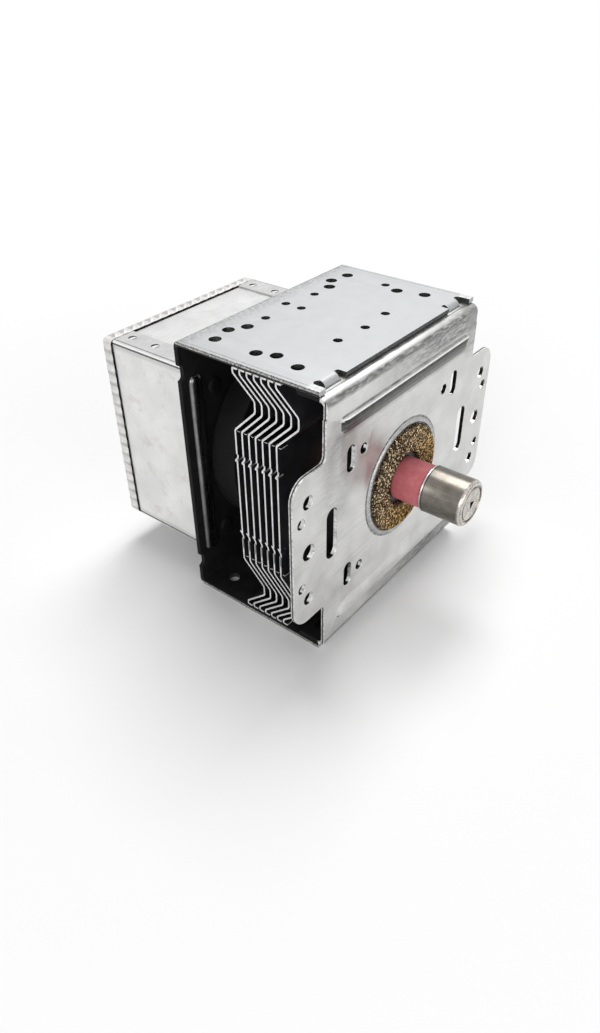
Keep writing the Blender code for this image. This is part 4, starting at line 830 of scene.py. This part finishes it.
def makePlate():
    p = plate
    face, half, neck, reach = p["face"], p["halfWidth"], p["neckWidth"], p["earReach"]
    top, bottom = p["high"] - p["bend"], p["low"] + p["bend"]
    shoulder = axisHeight + p["neckFrom"]
    high, low = axisHeight + p["earHalf"], axisHeight - p["earHalf"]
    right = [(half, bottom), (half, low), (reach, low), (reach, high), (half, high),
             (half, shoulder), (neck, shoulder), (neck, top)]
    bm = bmesh.new()
    verts = [bm.verts.new((x, face, z)) for x, z in right + [(-x, z) for x, z in reversed(right)]]
    bm.faces.new(verts)
    tips = [vert for vert in verts if abs(vert.co.x) > reach - 1]
    roots = [vert for vert in verts if abs(abs(vert.co.x) - half) < close
             and abs(abs(vert.co.z - axisHeight) - p["earHalf"]) < close]
    for corners, radius in ((tips, p["earRound"]), (roots, p["earFillet"])):
        roundOff(bm, corners, radius, 8, "VERTICES")
    for level, turn in ((top, -1), (bottom, 1)):
        rollBy(bm, edgesWhere(bm, lambda spot: abs(spot.z - level) < tiny),
               (0, face + p["bend"], level), turn, 10, (0, p["flangeEnd"] - face - p["bend"], 0))
    mergeDoubles(bm)
    faceOut(bm, (0, 0, -1))
    cut, beadShading, wall, shadowed = 2, 3, 4, 5
    piece = pieceFrom(bm, "frontPlate", plateZinc, insideShade, plateEdgeAndShade, beadShadingZinc, slotWall,
                      ferrite)
    addWall(piece, p["sheet"], cut)

    for level in (-1, 1):
        shape(piece, makeBead(level), "UNION")
    for side in piece.data.polygons:     # the beads' downward sides get a darker finish: painted shade
        spot = side.center
        inBand = abs(abs(spot.z - axisHeight) - p["beadPlace"]) < p["beadHalf"]
        raised = spot.y < face - p["beadShadingFrom"] and side.normal.z < -p["beadShadingFrom"]
        if inBand and raised and abs(spot.x) < p["beadShadingHalf"]:
            side.material_index = beadShading
        # cuts on the flanges behind shadowFrom take the near-black finish: painted shade
        if side.material_index == cut and spot.y > p["shadowFrom"]:
            side.material_index = shadowed
    outer, inner, ridge, root = p["collarOuter"], p["collarInner"], face - p["collarRise"], p["collarDepth"]
    inset, step = p["collarShoulder"]
    collar = turned("collarTool", [
        (outer, face + root), (outer, face - step), (outer - inset, ridge), (inner, ridge),
        (inner, face + root)], [], zip((2, 3), p["collarRounds"]))
    bm = bmesh.new()
    bm.from_mesh(collar.data)
    shape(piece, bm, "UNION")
    discard(collar)

    middle, drill = face + p["sheet"] / 2, p["drill"]
    holes = bmesh.new()
    for x, z, size in bothHalves(*p["rounds"]):
        addRod(holes, (x, middle, z), size / 2, drill)
    x, width, height = p["longSlot"]
    inner, outer, front, back = p["tongueSlot"]
    for side in (-1, 1):
        addRod(holes, (side * p["screwPlace"], middle, axisHeight), p["screwHole"] / 2, drill)
        addBar(holes, (side * x, middle, axisHeight), width, height, drill)
        for level in (p["low"], p["high"]):
            addBox(holes, (side * inner, front, level - p["tongueSlotHalf"]),
                   (side * outer, back, level + p["tongueSlotHalf"]))
    for x, z, width, height in bothHalves(p["shortSlot"]):
        addBar(holes, (x, middle, z), width, height, drill)
    addRod(holes, (0, middle, axisHeight), p["centreHole"], drill, steps=roundSteps)
    shape(piece, paint(holes, wall))
    finishPiece(piece, "mounting_plate", 0.16)


makeYoke()
print("yoke made")
makePlate()
print("plate made")


# Cooling fins

fin = dict(
    count=7, pitch=2.55, first=-10.4, halfWidth=39.7, sheet=0.6,
    top=43.7, lip=2.0, lipSet=0.5, lipEnd=41.8,
    offset=8.0, slopeEnd=35.3, bend=32.0, bendEnd=24.0, lipRound=0.45, round=0.6,
    hubBore=19.8, hubWall=0.5, hubRise=1.65,
    tabWidth=3.0, tabInset=0.6, tabPlace=23.2, tabThick=0.34, tabSunk=0.3,
    bumpTop=15.6, bumpEnd=13.4, bumpOut=0.95, bumpWidth=2.2, bumpFoot=(0.25, 0.6),
    bumpRound=0.4,
)


def makeFins():
    f = fin
    half = f["halfWidth"]
    upper = [(-f["lipSet"] - f["lip"], f["top"]), (-f["lipSet"], f["top"]), (-f["lipSet"], f["lipEnd"]),
             (-f["offset"], f["slopeEnd"]), (-f["offset"], f["bend"]), (0, f["bendEnd"])]
    path = [(y, axisHeight + z) for y, z in upper + [(y, -z) for y, z in reversed(upper)]]
    bm = drawSheet(path, -half, half)
    for bend in path[1:-1]:
        isLip = bend in (path[1], path[-2])
        roundBend(bm, bend, f["lipRound"] if isLip else f["round"], 4)
    faceOut(bm, (0, -1, 0))
    face, edge = 0, 2
    blank = pieceFrom(bm, "finBlank", finShade, finShade, finEdge)
    addWall(blank, f["sheet"], edge)
    blank.data.transform(Matrix.Translation((0, -f["sheet"] / 2, 0)))

    cuts, bumps, hub, tabs, bore = [bmesh.new() for _ in range(5)]
    for side, level in quarters:
        addBox(cuts, (side * (half + 1), -1, axisHeight + level * f["bumpTop"]),
               (side * (half - f["bumpWidth"]), 1, axisHeight + level * f["bumpEnd"]))
        addLance(bumps, side, level)
    shape(blank, paint(cuts, edge))
    shape(blank, bumps, "UNION")
    addRod(hub, (0, (f["sheet"] / 2 - f["hubRise"]) / 2, axisHeight), f["hubBore"] + f["hubWall"],
           f["sheet"] / 2 + f["hubRise"], steps=roundSteps)
    shape(blank, paint(hub, face), "UNION")
    for x, z in bothHalves((half - f["tabInset"] - f["tabWidth"] / 2, f["tabPlace"])):
        verts = addBar(tabs, (x, 0, z), f["tabThick"], f["tabWidth"], f["hubRise"] + f["tabSunk"])
        bmesh.ops.rotate(tabs, verts=verts, cent=(x, 0, z),
                         matrix=Matrix.Rotation(math.pi / 2, 3, "Y"))
        bmesh.ops.translate(tabs, verts=verts, vec=(0, -f["hubRise"] / 2, 0))
    tabs.normal_update()
    for side in tabs.faces:
        side.material_index = face if abs(side.normal.z) > 0.8 else edge
    shape(blank, tabs, "UNION")
    addRod(bore, (0, 0, axisHeight), f["hubBore"], 20, steps=roundSteps)
    shape(blank, paint(bore, face))

    for i in range(f["count"]):
        piece = addObject(f"finSheet{i + 1}", blank.data.copy())
        piece.data.transform(Matrix.Translation((0, f["first"] + i * f["pitch"], 0)))
        finishPiece(piece, f"cooling_fin_{i + 1}", 0.06)
    discard(blank)


def addLance(bm, side, level):       # a strip pushed forward out of the sheet, cut off at its top
    f = fin
    high, low, out = f["bumpTop"], f["bumpEnd"], f["bumpOut"]
    path = [(-out, high), (-out, (high + low) / 2)] + [(0, low - foot) for foot in f["bumpFoot"]]
    path = [(y, axisHeight + level * z) for y, z in path]
    sheet = drawSheet(path, *sorted((side * f["halfWidth"], side * (f["halfWidth"] - f["bumpWidth"]))))
    roundBend(sheet, path[1], f["bumpRound"], 4)
    bmesh.ops.recalc_face_normals(sheet, faces=sheet.faces)
    bmesh.ops.solidify(sheet, geom=sheet.faces[:], thickness=f["sheet"])
    bmesh.ops.recalc_face_normals(sheet, faces=sheet.faces)
    ys = [vert.co.y for vert in sheet.verts if abs(vert.co.z - path[-1][1]) < close]
    bmesh.ops.translate(sheet, verts=sheet.verts, vec=(0, -(max(ys) + min(ys)) / 2, 0))
    for face in sheet.faces:
        face.material_index = 2 if abs(face.normal.x) > 0.5 else 0
    mesh = bpy.data.meshes.new("lance")
    sheet.to_mesh(mesh)
    sheet.free()
    bm.from_mesh(mesh)
    bpy.data.meshes.remove(mesh)


makeFins()
print("fins made")


# Gasket, ceramic and cap

gasket = dict(
    outer=17.5, bore=8.9, front=-29.6, rear=-28.65, round=0.5,
    coreInset=0.35, coreRound=0.2, sunk=0.2,
    rows=11, wire=0.15, pitch=1.45, points=10,
    along=0.32, across=0.72, depth=0.30, jitter=0.20, jitterSize=0.9, jitterOut=0.5, seed=4,
)


def makeGasket():
    g = gasket
    outer, bore, front, rear, inset = g["outer"], g["bore"], g["front"], g["rear"], g["coreInset"]
    # A near-black core under the wires: painted shade between them
    core = turned("gasketShadeCore", [
        (outer - inset, rear), (outer - inset, front + inset), (bore + inset, front + inset),
        (bore + inset, rear)], [wireCoreShade], [(1, g["coreRound"]), (2, g["coreRound"])])
    finishPiece(core, "rf_gasket", 0)

    # the rows lie on the ring's section, from the bore over the front to the outer side
    sunk, corner = rear - g["sunk"], g["round"]
    section = [(bore, sunk), (bore, front + corner), (bore + corner, front), (outer - corner, front),
               (outer, front + corner), (outer, sunk)]
    lengths = [math.dist(a, b) for a, b in zip(section, section[1:])]
    noise.seed_set(g["seed"])            # without it the noise follows the clock
    curve = bpy.data.curves.new("gasketWire", "CURVE")
    curve.dimensions = "3D"
    curve.bevel_depth = g["wire"]
    curve.bevel_resolution = 0
    for row in range(g["rows"]):
        along = sum(lengths) * (row + 0.5) / g["rows"]
        part = 0
        while along > lengths[part]:
            along -= lengths[part]
            part += 1
        start, end = Vector(section[part]), Vector(section[part + 1])
        tangent = (end - start).normalized()
        radius, y = start + tangent * along
        count = round(math.tau * radius / g["pitch"]) * g["points"]
        spline = curve.splines.new("POLY")
        spline.points.add(count - 1)
        spline.use_cyclic_u = True
        for i in range(count):
            angle = math.tau * i / count
            phase = math.tau * i / g["points"] + row * math.pi
            spot = Vector((radius * math.cos(angle), y, radius * math.sin(angle)))
            seed = Vector((g["seed"], row, 0))
            wobble = noise.noise_vector(spot * g["jitterSize"] + seed) * g["jitter"]
            swing = g["across"] * math.cos(phase)
            lift = g["depth"] * math.cos(2 * phase)
            out = radius + tangent.x * swing + wobble.x * g["jitterOut"] - tangent.y * lift
            depth = y + tangent.y * swing - abs(tangent.x * lift) + wobble.y * g["jitterOut"]
            turn = angle + (g["along"] * math.sin(2 * phase) + wobble.z) / radius
            spline.points[i].co = (out * math.cos(turn), max(depth, front),
                                   axisHeight + out * math.sin(turn), 1)
    source = addObject("gasketWireSource", curve)
    mesh = meshOf(source)
    mesh.materials.append(knittedWire)
    bpy.data.objects.remove(source)
    bpy.data.curves.remove(curve)
    finishPiece(addObject("gasketWire", mesh), "rf_gasket", 0, 60)


cap = dict(
    outer=7.5, inner=7.0, tip=-53.05, rear=-38.95, round=1.45, wall=0.5,
    lip=0.08, lipLength=0.4, lipSlope=0.15, lipRound=0.14,
    grooveOut=5.85, grooveIn=5.2, grooveDepth=0.55, grooveSlope=0.1, faceSet=0.12,
    rings=(2.8, 3.6, 4.4), ringHalf=0.22, ringDepth=0.08, triangle=1.7, triangleTurn=20,
)
tubeEnd = dict(outer=7.05, bore=5.0, front=-38.65, rear=-28.65, round=0.25)


def makeCeramic():
    t = tubeEnd
    piece = turned("ceramicTube", [(t["outer"], t["rear"]), (t["outer"], t["front"]),
                                   (t["bore"], t["front"]), (t["bore"], t["rear"])],
                   [pinkCeramic], [(0, t["round"]), (1, t["round"])])
    finishPiece(piece, "output_ceramic", 0, 50)


def makeCap():
    c = cap
    outer, inner, tip, rear, wall = c["outer"], c["inner"], c["tip"], c["rear"], c["wall"]
    face = tip + c["faceSet"]
    profile = [(0, face)]
    for ring in c["rings"]:
        profile += [(ring - c["ringHalf"], face), (ring, face + c["ringDepth"]),
                    (ring + c["ringHalf"], face)]
    floor, slope, lip = face + c["grooveDepth"], c["grooveSlope"], rear - c["lipLength"]
    profile += [(c["grooveIn"], face), (c["grooveIn"] + slope, floor), (c["grooveOut"] - slope, floor),
                (c["grooveOut"], tip)]
    corner = len(profile)
    profile += [(outer, tip), (outer, lip - c["lipSlope"]), (outer + c["lip"], lip),
                (outer + c["lip"], rear), (inner, rear), (inner, tip + 3 * wall), (0, tip + 2.2 * wall)]
    piece = turned("capShell", profile, [capSteel, insideShade],
                   [(corner, c["round"]), (corner + 3, c["lipRound"])], closed=False)
    for side in piece.data.polygons:
        away = math.hypot(side.center.x, side.center.z - axisHeight)
        if side.center.y > tip + 2 * wall and away < inner + close:
            side.material_index = 1
    hole = bmesh.new()
    verts = addRod(hole, (0, tip, axisHeight), c["triangle"], steps=3)
    bmesh.ops.rotate(hole, verts=verts, cent=(0, tip, axisHeight),
                     matrix=Matrix.Rotation(math.radians(c["triangleTurn"]), 3, "Y"))
    shape(piece, paint(hole, 1))
    finishPiece(piece, "antenna_cap", 0, 30)


makeGasket()
print("gasket made")
makeCeramic()
makeCap()
print("ceramic and cap made")


# Magnets and rivets

magnet = dict(bore=11.0, chamfer=0.8, thick=10.0, rings=[      # name, node, front, radius
    ("frontRing", "front_magnet", -26.65, 29.0), ("rearRing", "rear_magnet", 14.25, 31.2)])
rivet = dict(head=2.6, crown=1.95, shank=1.5, thick=0.8, front=24.25, back=27.45, round=0.4)


def makeMagnets():
    bore, chamfer = magnet["bore"], magnet["chamfer"]
    for name, node, front, outer in magnet["rings"]:
        back = front + magnet["thick"]
        piece = turned(name, [(outer, front), (outer, back), (bore, back), (bore, front)],
                       [ferrite], [(0, chamfer), (1, chamfer)])
        finishPiece(piece, node, 0, 40)


def makeRivets():
    r = rivet
    front, back, head, crown = r["front"], r["back"], r["head"], r["crown"]
    # the rivet heads take the near-black finish: painted shade
    for i, (x, z) in enumerate(bothHalves(yoke["rivetPlace"])):
        piece = turned(f"rivetHead{i + 1}", [
            (0, front - r["thick"]), (crown, front - r["thick"]), (head, front), (r["shank"], front),
            (r["shank"], back), (head, back), (crown, back + r["thick"]), (0, back + r["thick"])],
            [ferrite], [(1, r["round"]), (6, r["round"])], closed=False, steps=32)
        piece.data.transform(Matrix.Translation((x, 0, z - axisHeight)))
        finishPiece(piece, f"box_rivet_{i + 1}", 0, 40)


makeMagnets()
makeRivets()
print("magnets and rivets made")


# Filter box and its lid

filterBox = dict(
    halfWidth=34.5, halfHeight=33.6, front=26.35, step=61.0, back=64.15,
    stepIn=0.7, sheet=0.7, edge=0.5,
    flapWidth=9.0, flapThick=0.7, flapRound=1.0, flapSunk=0.35,
    clinch=2.7, clinchPlaces=[(29.3, 46.6), (29.3, 57.1)], clinchDepth=0.5, clinchTool=1.2,
    stemHole=12.0,
    capacitorPlace=45.75, capacitorHole=(13.6, 24.6), capacitorRivets=17.0,
    capacitorRivetHole=2.8,
)


def makeFilterBox():
    b = filterBox
    half, tall, front, step, back = b["halfWidth"], b["halfHeight"], b["front"], b["step"], b["back"]
    bm = bmesh.new()
    addBox(bm, (-half, front, axisHeight - tall), (half, step, axisHeight + tall))
    bm.normal_update()
    rear = [face for face in bm.faces if face.normal.y > 0.5]
    bmesh.ops.inset_region(bm, faces=rear, thickness=b["stepIn"], depth=0, use_even_offset=True)
    made = bmesh.ops.extrude_face_region(bm, geom=rear)["geom"]
    bmesh.ops.translate(bm, verts=pick(made, bmesh.types.BMVert), vec=(0, back - step, 0))
    bm.normal_update()
    ends = [face for face in bm.faces if face.normal.y > 0.5 and face.calc_center_median().y > back - close]
    bmesh.ops.delete(bm, geom=ends + rear, context="FACES_ONLY")
    bmesh.ops.delete(bm, geom=[vert for vert in bm.verts if not vert.link_faces], context="VERTS")
    corners = [edge for edge in edgesWhere(bm, lambda spot: spot.y < front + close)
               if edge.calc_face_angle(0) > 0.5]
    roundOff(bm, corners, b["edge"], 4)
    piece = pieceFrom(bm, "boxShell", boxZinc, insideShade, boxZinc)
    addWall(piece, b["sheet"], 0)

    for side, level in quarters:
        top = axisHeight + level * (tall + b["flapThick"])
        bm = bmesh.new()
        addBox(bm, (side * half, front, axisHeight + level * (tall - b["flapSunk"])),
               (side * (half - b["flapWidth"]), step, top))
        roundOff(bm, edgesWhere(bm, lambda spot: abs(spot.x - side * half) < close
                                and abs(spot.z - top) < close), b["flapRound"])
        shape(piece, bm, "UNION")

    middle = b["capacitorPlace"]
    holes = bmesh.new()
    addRod(holes, (0, front, axisHeight), b["stemHole"], steps=roundSteps)
    for x, z in bothHalves(yoke["rivetPlace"]):
        addRod(holes, (x, front, z), yoke["rivetHole"] / 2)
    addBar(holes, (half, middle, axisHeight), *b["capacitorHole"], axis="X")
    for level in (-1, 1):
        addRod(holes, (half, middle, axisHeight + level * b["capacitorRivets"]),
               b["capacitorRivetHole"] / 2, axis="X")
    shape(piece, paint(holes, 0))
    clinches = bmesh.new()
    for side in (-1, 1):
        for x, y in b["clinchPlaces"]:
            for level in (-1, 1):
                addClinch(clinches, side * x, y, level)
    clinches.normal_update()
    # The clinches' walls take the inside-shade finish: painted shade
    for face in clinches.faces:
        face.material_index = 0 if abs(face.normal.z) > 0.7 else 1
    shape(piece, clinches)
    finishPiece(piece, "filter_box")


def addClinch(bm, x, y, level):      # a half-round mark whose floor sinks towards the lid
    b = filterBox
    surface = axisHeight + level * (b["halfHeight"] + b["flapThick"])
    for vert in addRod(bm, (x, y, surface + level * 0.5), b["clinch"] / 2, b["clinchTool"], "Z", 32):
        if (vert.co.z - surface) * level < 0:
            sink = b["clinchDepth"] * (vert.co.y - y + b["clinch"] / 2) / b["clinch"]
            vert.co.z = surface - level * (sink + close)


lid = dict(
    halfWidth=35.05, halfHeight=34.15, front=61.35, back=65.15, sheet=0.55,
    corner=1.6, rise=0.75, pitch=3.9, perPitch=10, rings=7, slant=0.5,
    cornerFade=1.5, backFade=3, rimFade=(0.15, 2.5),       # the flutes die down near these
)


def makeLid():
    d = lid
    half, tall, back = d["halfWidth"], d["halfHeight"], d["back"]
    bm = bmesh.new()
    corners = [bm.verts.new((x, back, axisHeight + z))
               for x, z in ((half, -tall), (half, tall), (-half, tall), (-half, -tall))]
    for i in range(4):
        bm.edges.new((corners[i], corners[(i + 1) % 4]))
    roundOff(bm, corners, d["corner"], 4, "VERTICES")
    sides = [edge for edge in bm.edges if edge.calc_length() > d["corner"]]
    pitches = round(2 * half / d["pitch"])
    bmesh.ops.subdivide_edges(bm, edges=sides, cuts=pitches * d["perPitch"] - 1)
    bmesh.ops.contextual_create(bm, geom=bm.edges[:])
    ring = [edge for edge in bm.edges if edge.is_boundary]
    depth = (back - d["front"]) / d["rings"]
    for i in range(d["rings"]):
        made = extrudeBy(bm, ring, (0, -depth, 0))
        ring = [edge for edge in made if max(vert.co.y for vert in edge.verts) < back - (i + 0.5) * depth]
    for vert in bm.verts:
        crimp(vert)
    bmesh.ops.recalc_face_normals(bm, faces=bm.faces)
    bm.normal_update()
    cover = max(bm.faces, key=lambda face: face.calc_area())
    if cover.normal.y < 0:
        bmesh.ops.reverse_faces(bm, faces=bm.faces)
    skirt, flat = 0, 3
    piece = pieceFrom(bm, "lidShell", skirtZinc, insideShade, cutEdgeAndShade, lidZinc)
    # The rim takes the cut-edge finish, whose near-black band paints the shade of the seam in front of the
    # box
    addWall(piece, d["sheet"])
    for side in piece.data.polygons:
        if side.material_index == skirt and side.normal.y > 0.9:
            side.material_index = flat
    finishPiece(piece, "filter_lid", 0)


def crimp(vert):                     # slanted flutes, which fade out at the lid's back
    d = lid
    x, z = vert.co.x, vert.co.z - axisHeight
    away = (d["back"] - vert.co.y) / (d["back"] - d["front"])
    onSide = d["halfWidth"] - abs(x) < d["corner"] * 0.5
    onEnd = d["halfHeight"] - abs(z) < d["corner"] * 0.5
    if onSide and onEnd:
        return
    along = z if onSide else x
    reach = (d["halfHeight"] if onSide else d["halfWidth"]) - d["corner"] - abs(along)
    least, rate = d["rimFade"]
    fade = min(1, max(0, reach) / d["cornerFade"]) * min(1, away * d["backFade"])
    fade *= min(1, least + (1 - away) * rate)
    wave = math.sin(math.tau * (along / d["pitch"] + d["slant"] * away))
    out = d["rise"] * fade * (0.5 + 0.5 * wave)
    if onSide:
        vert.co.x += math.copysign(out, x)
    else:
        vert.co.z += math.copysign(out, z)


makeFilterBox()
print("filter box made")
makeLid()
print("lid made")


# Feed-through capacitor, on the far side

capacitor = dict(
    body=(22.5, 47.0), size=(13.0, 24.0), wall=2.0, socket=10.2,
    plate=(34.8, 35.6), plateSize=(20.0, 44.0), gap=0.3, rivetHole=1.4,
    blade=(37.1, 45.9), bladeWidth=6.3, bladeThick=0.8, blades=5.0, tipRound=1.0,
    latchHole=0.75, latchInset=3.2,
)


def makeCapacitor():
    c = capacitor
    middle = filterBox["capacitorPlace"]
    near, far = c["body"]
    width, height = c["size"]
    bm, socket = bmesh.new(), bmesh.new()
    addBar(bm, ((near + far) / 2, middle, axisHeight), width, height, far - near, "X")
    addBar(socket, (far, middle, axisHeight), width - 2 * c["wall"], height - 2 * c["wall"],
           2 * c["socket"], "X")
    body = pieceFrom(bm, "capacitorHousing", capacitorPlastic)
    shape(body, socket)
    finishPiece(body, "capacitor_body", 0.4, segments=3)

    low, high = c["plate"]
    bm, holes = bmesh.new(), bmesh.new()
    addBar(bm, ((low + high) / 2, middle, axisHeight), *c["plateSize"], high - low, "X")
    addBar(holes, (low, middle, axisHeight), width + 2 * c["gap"], height + 2 * c["gap"], axis="X")
    for level in (-1, 1):
        addRod(holes, (low, middle, axisHeight + level * filterBox["capacitorRivets"]),
               c["rivetHole"], axis="X")
    flange = pieceFrom(bm, "capacitorFlange", zinc)
    shape(flange, holes)
    finishPiece(flange, "capacitor_plate", 0.2)

    near, far = c["blade"]
    for name, level in (("upper", 1), ("lower", -1)):
        z = axisHeight + level * c["blades"]
        bm, hole = bmesh.new(), bmesh.new()
        addBox(bm, (near, middle - c["bladeWidth"] / 2, z - c["bladeThick"] / 2),
               (far, middle + c["bladeWidth"] / 2, z + c["bladeThick"] / 2))
        tips = [edge for edge in edgesWhere(bm, lambda spot: spot.x > far - close)
                if abs(edge.verts[0].co.y - edge.verts[1].co.y) < close]
        roundOff(bm, tips, c["tipRound"], 3)
        addRod(hole, (far - c["latchInset"], middle, z), c["latchHole"], 4, "Z", 24)
        blade = pieceFrom(bm, name + "Blade", tinnedBrass)
        shape(blade, hole)
        finishPiece(blade, name + "_terminal_blade", 0.1)


makeCapacitor()
print("capacitor made")


# The CAD pieces that stay get a finish of their own

kept = {
    copper: ("anode_block", "front_inner_strap", "front_outer_strap", "rear_inner_strap",
             "rear_outer_strap", "exhaust_tube", "antenna_lead"),
    poleSteel: ("front_pole_piece", "rear_pole_piece"),
    sealMetal: ("rear_seal_cup", "antenna_sleeve"),
    sealCupShade: ("front_seal_cup",),
    tungsten: ("filament", "front_end_hat", "rear_end_hat", "centre_lead", "side_lead"),
    whiteCeramic: ("stem_ceramic",),
    tinnedBrass: ("upper_stem_terminal", "lower_stem_terminal", "upper_capacitor_stud",
                  "lower_capacitor_stud"),
    enamelWire: ("upper_choke_coil", "lower_choke_coil"),
    ferrite: ("upper_choke_core", "lower_choke_core"),
    zinc: ("upper_capacitor_rivet", "lower_capacitor_rivet"),
}
for material, names in kept.items():
    for name in names:
        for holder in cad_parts[name].material_slots:
            holder.material = material

makeCamera()
makeLamps()
makeSky()
makeFloor()
bpy.context.scene.view_settings.view_transform = "Standard"
print("studio made")
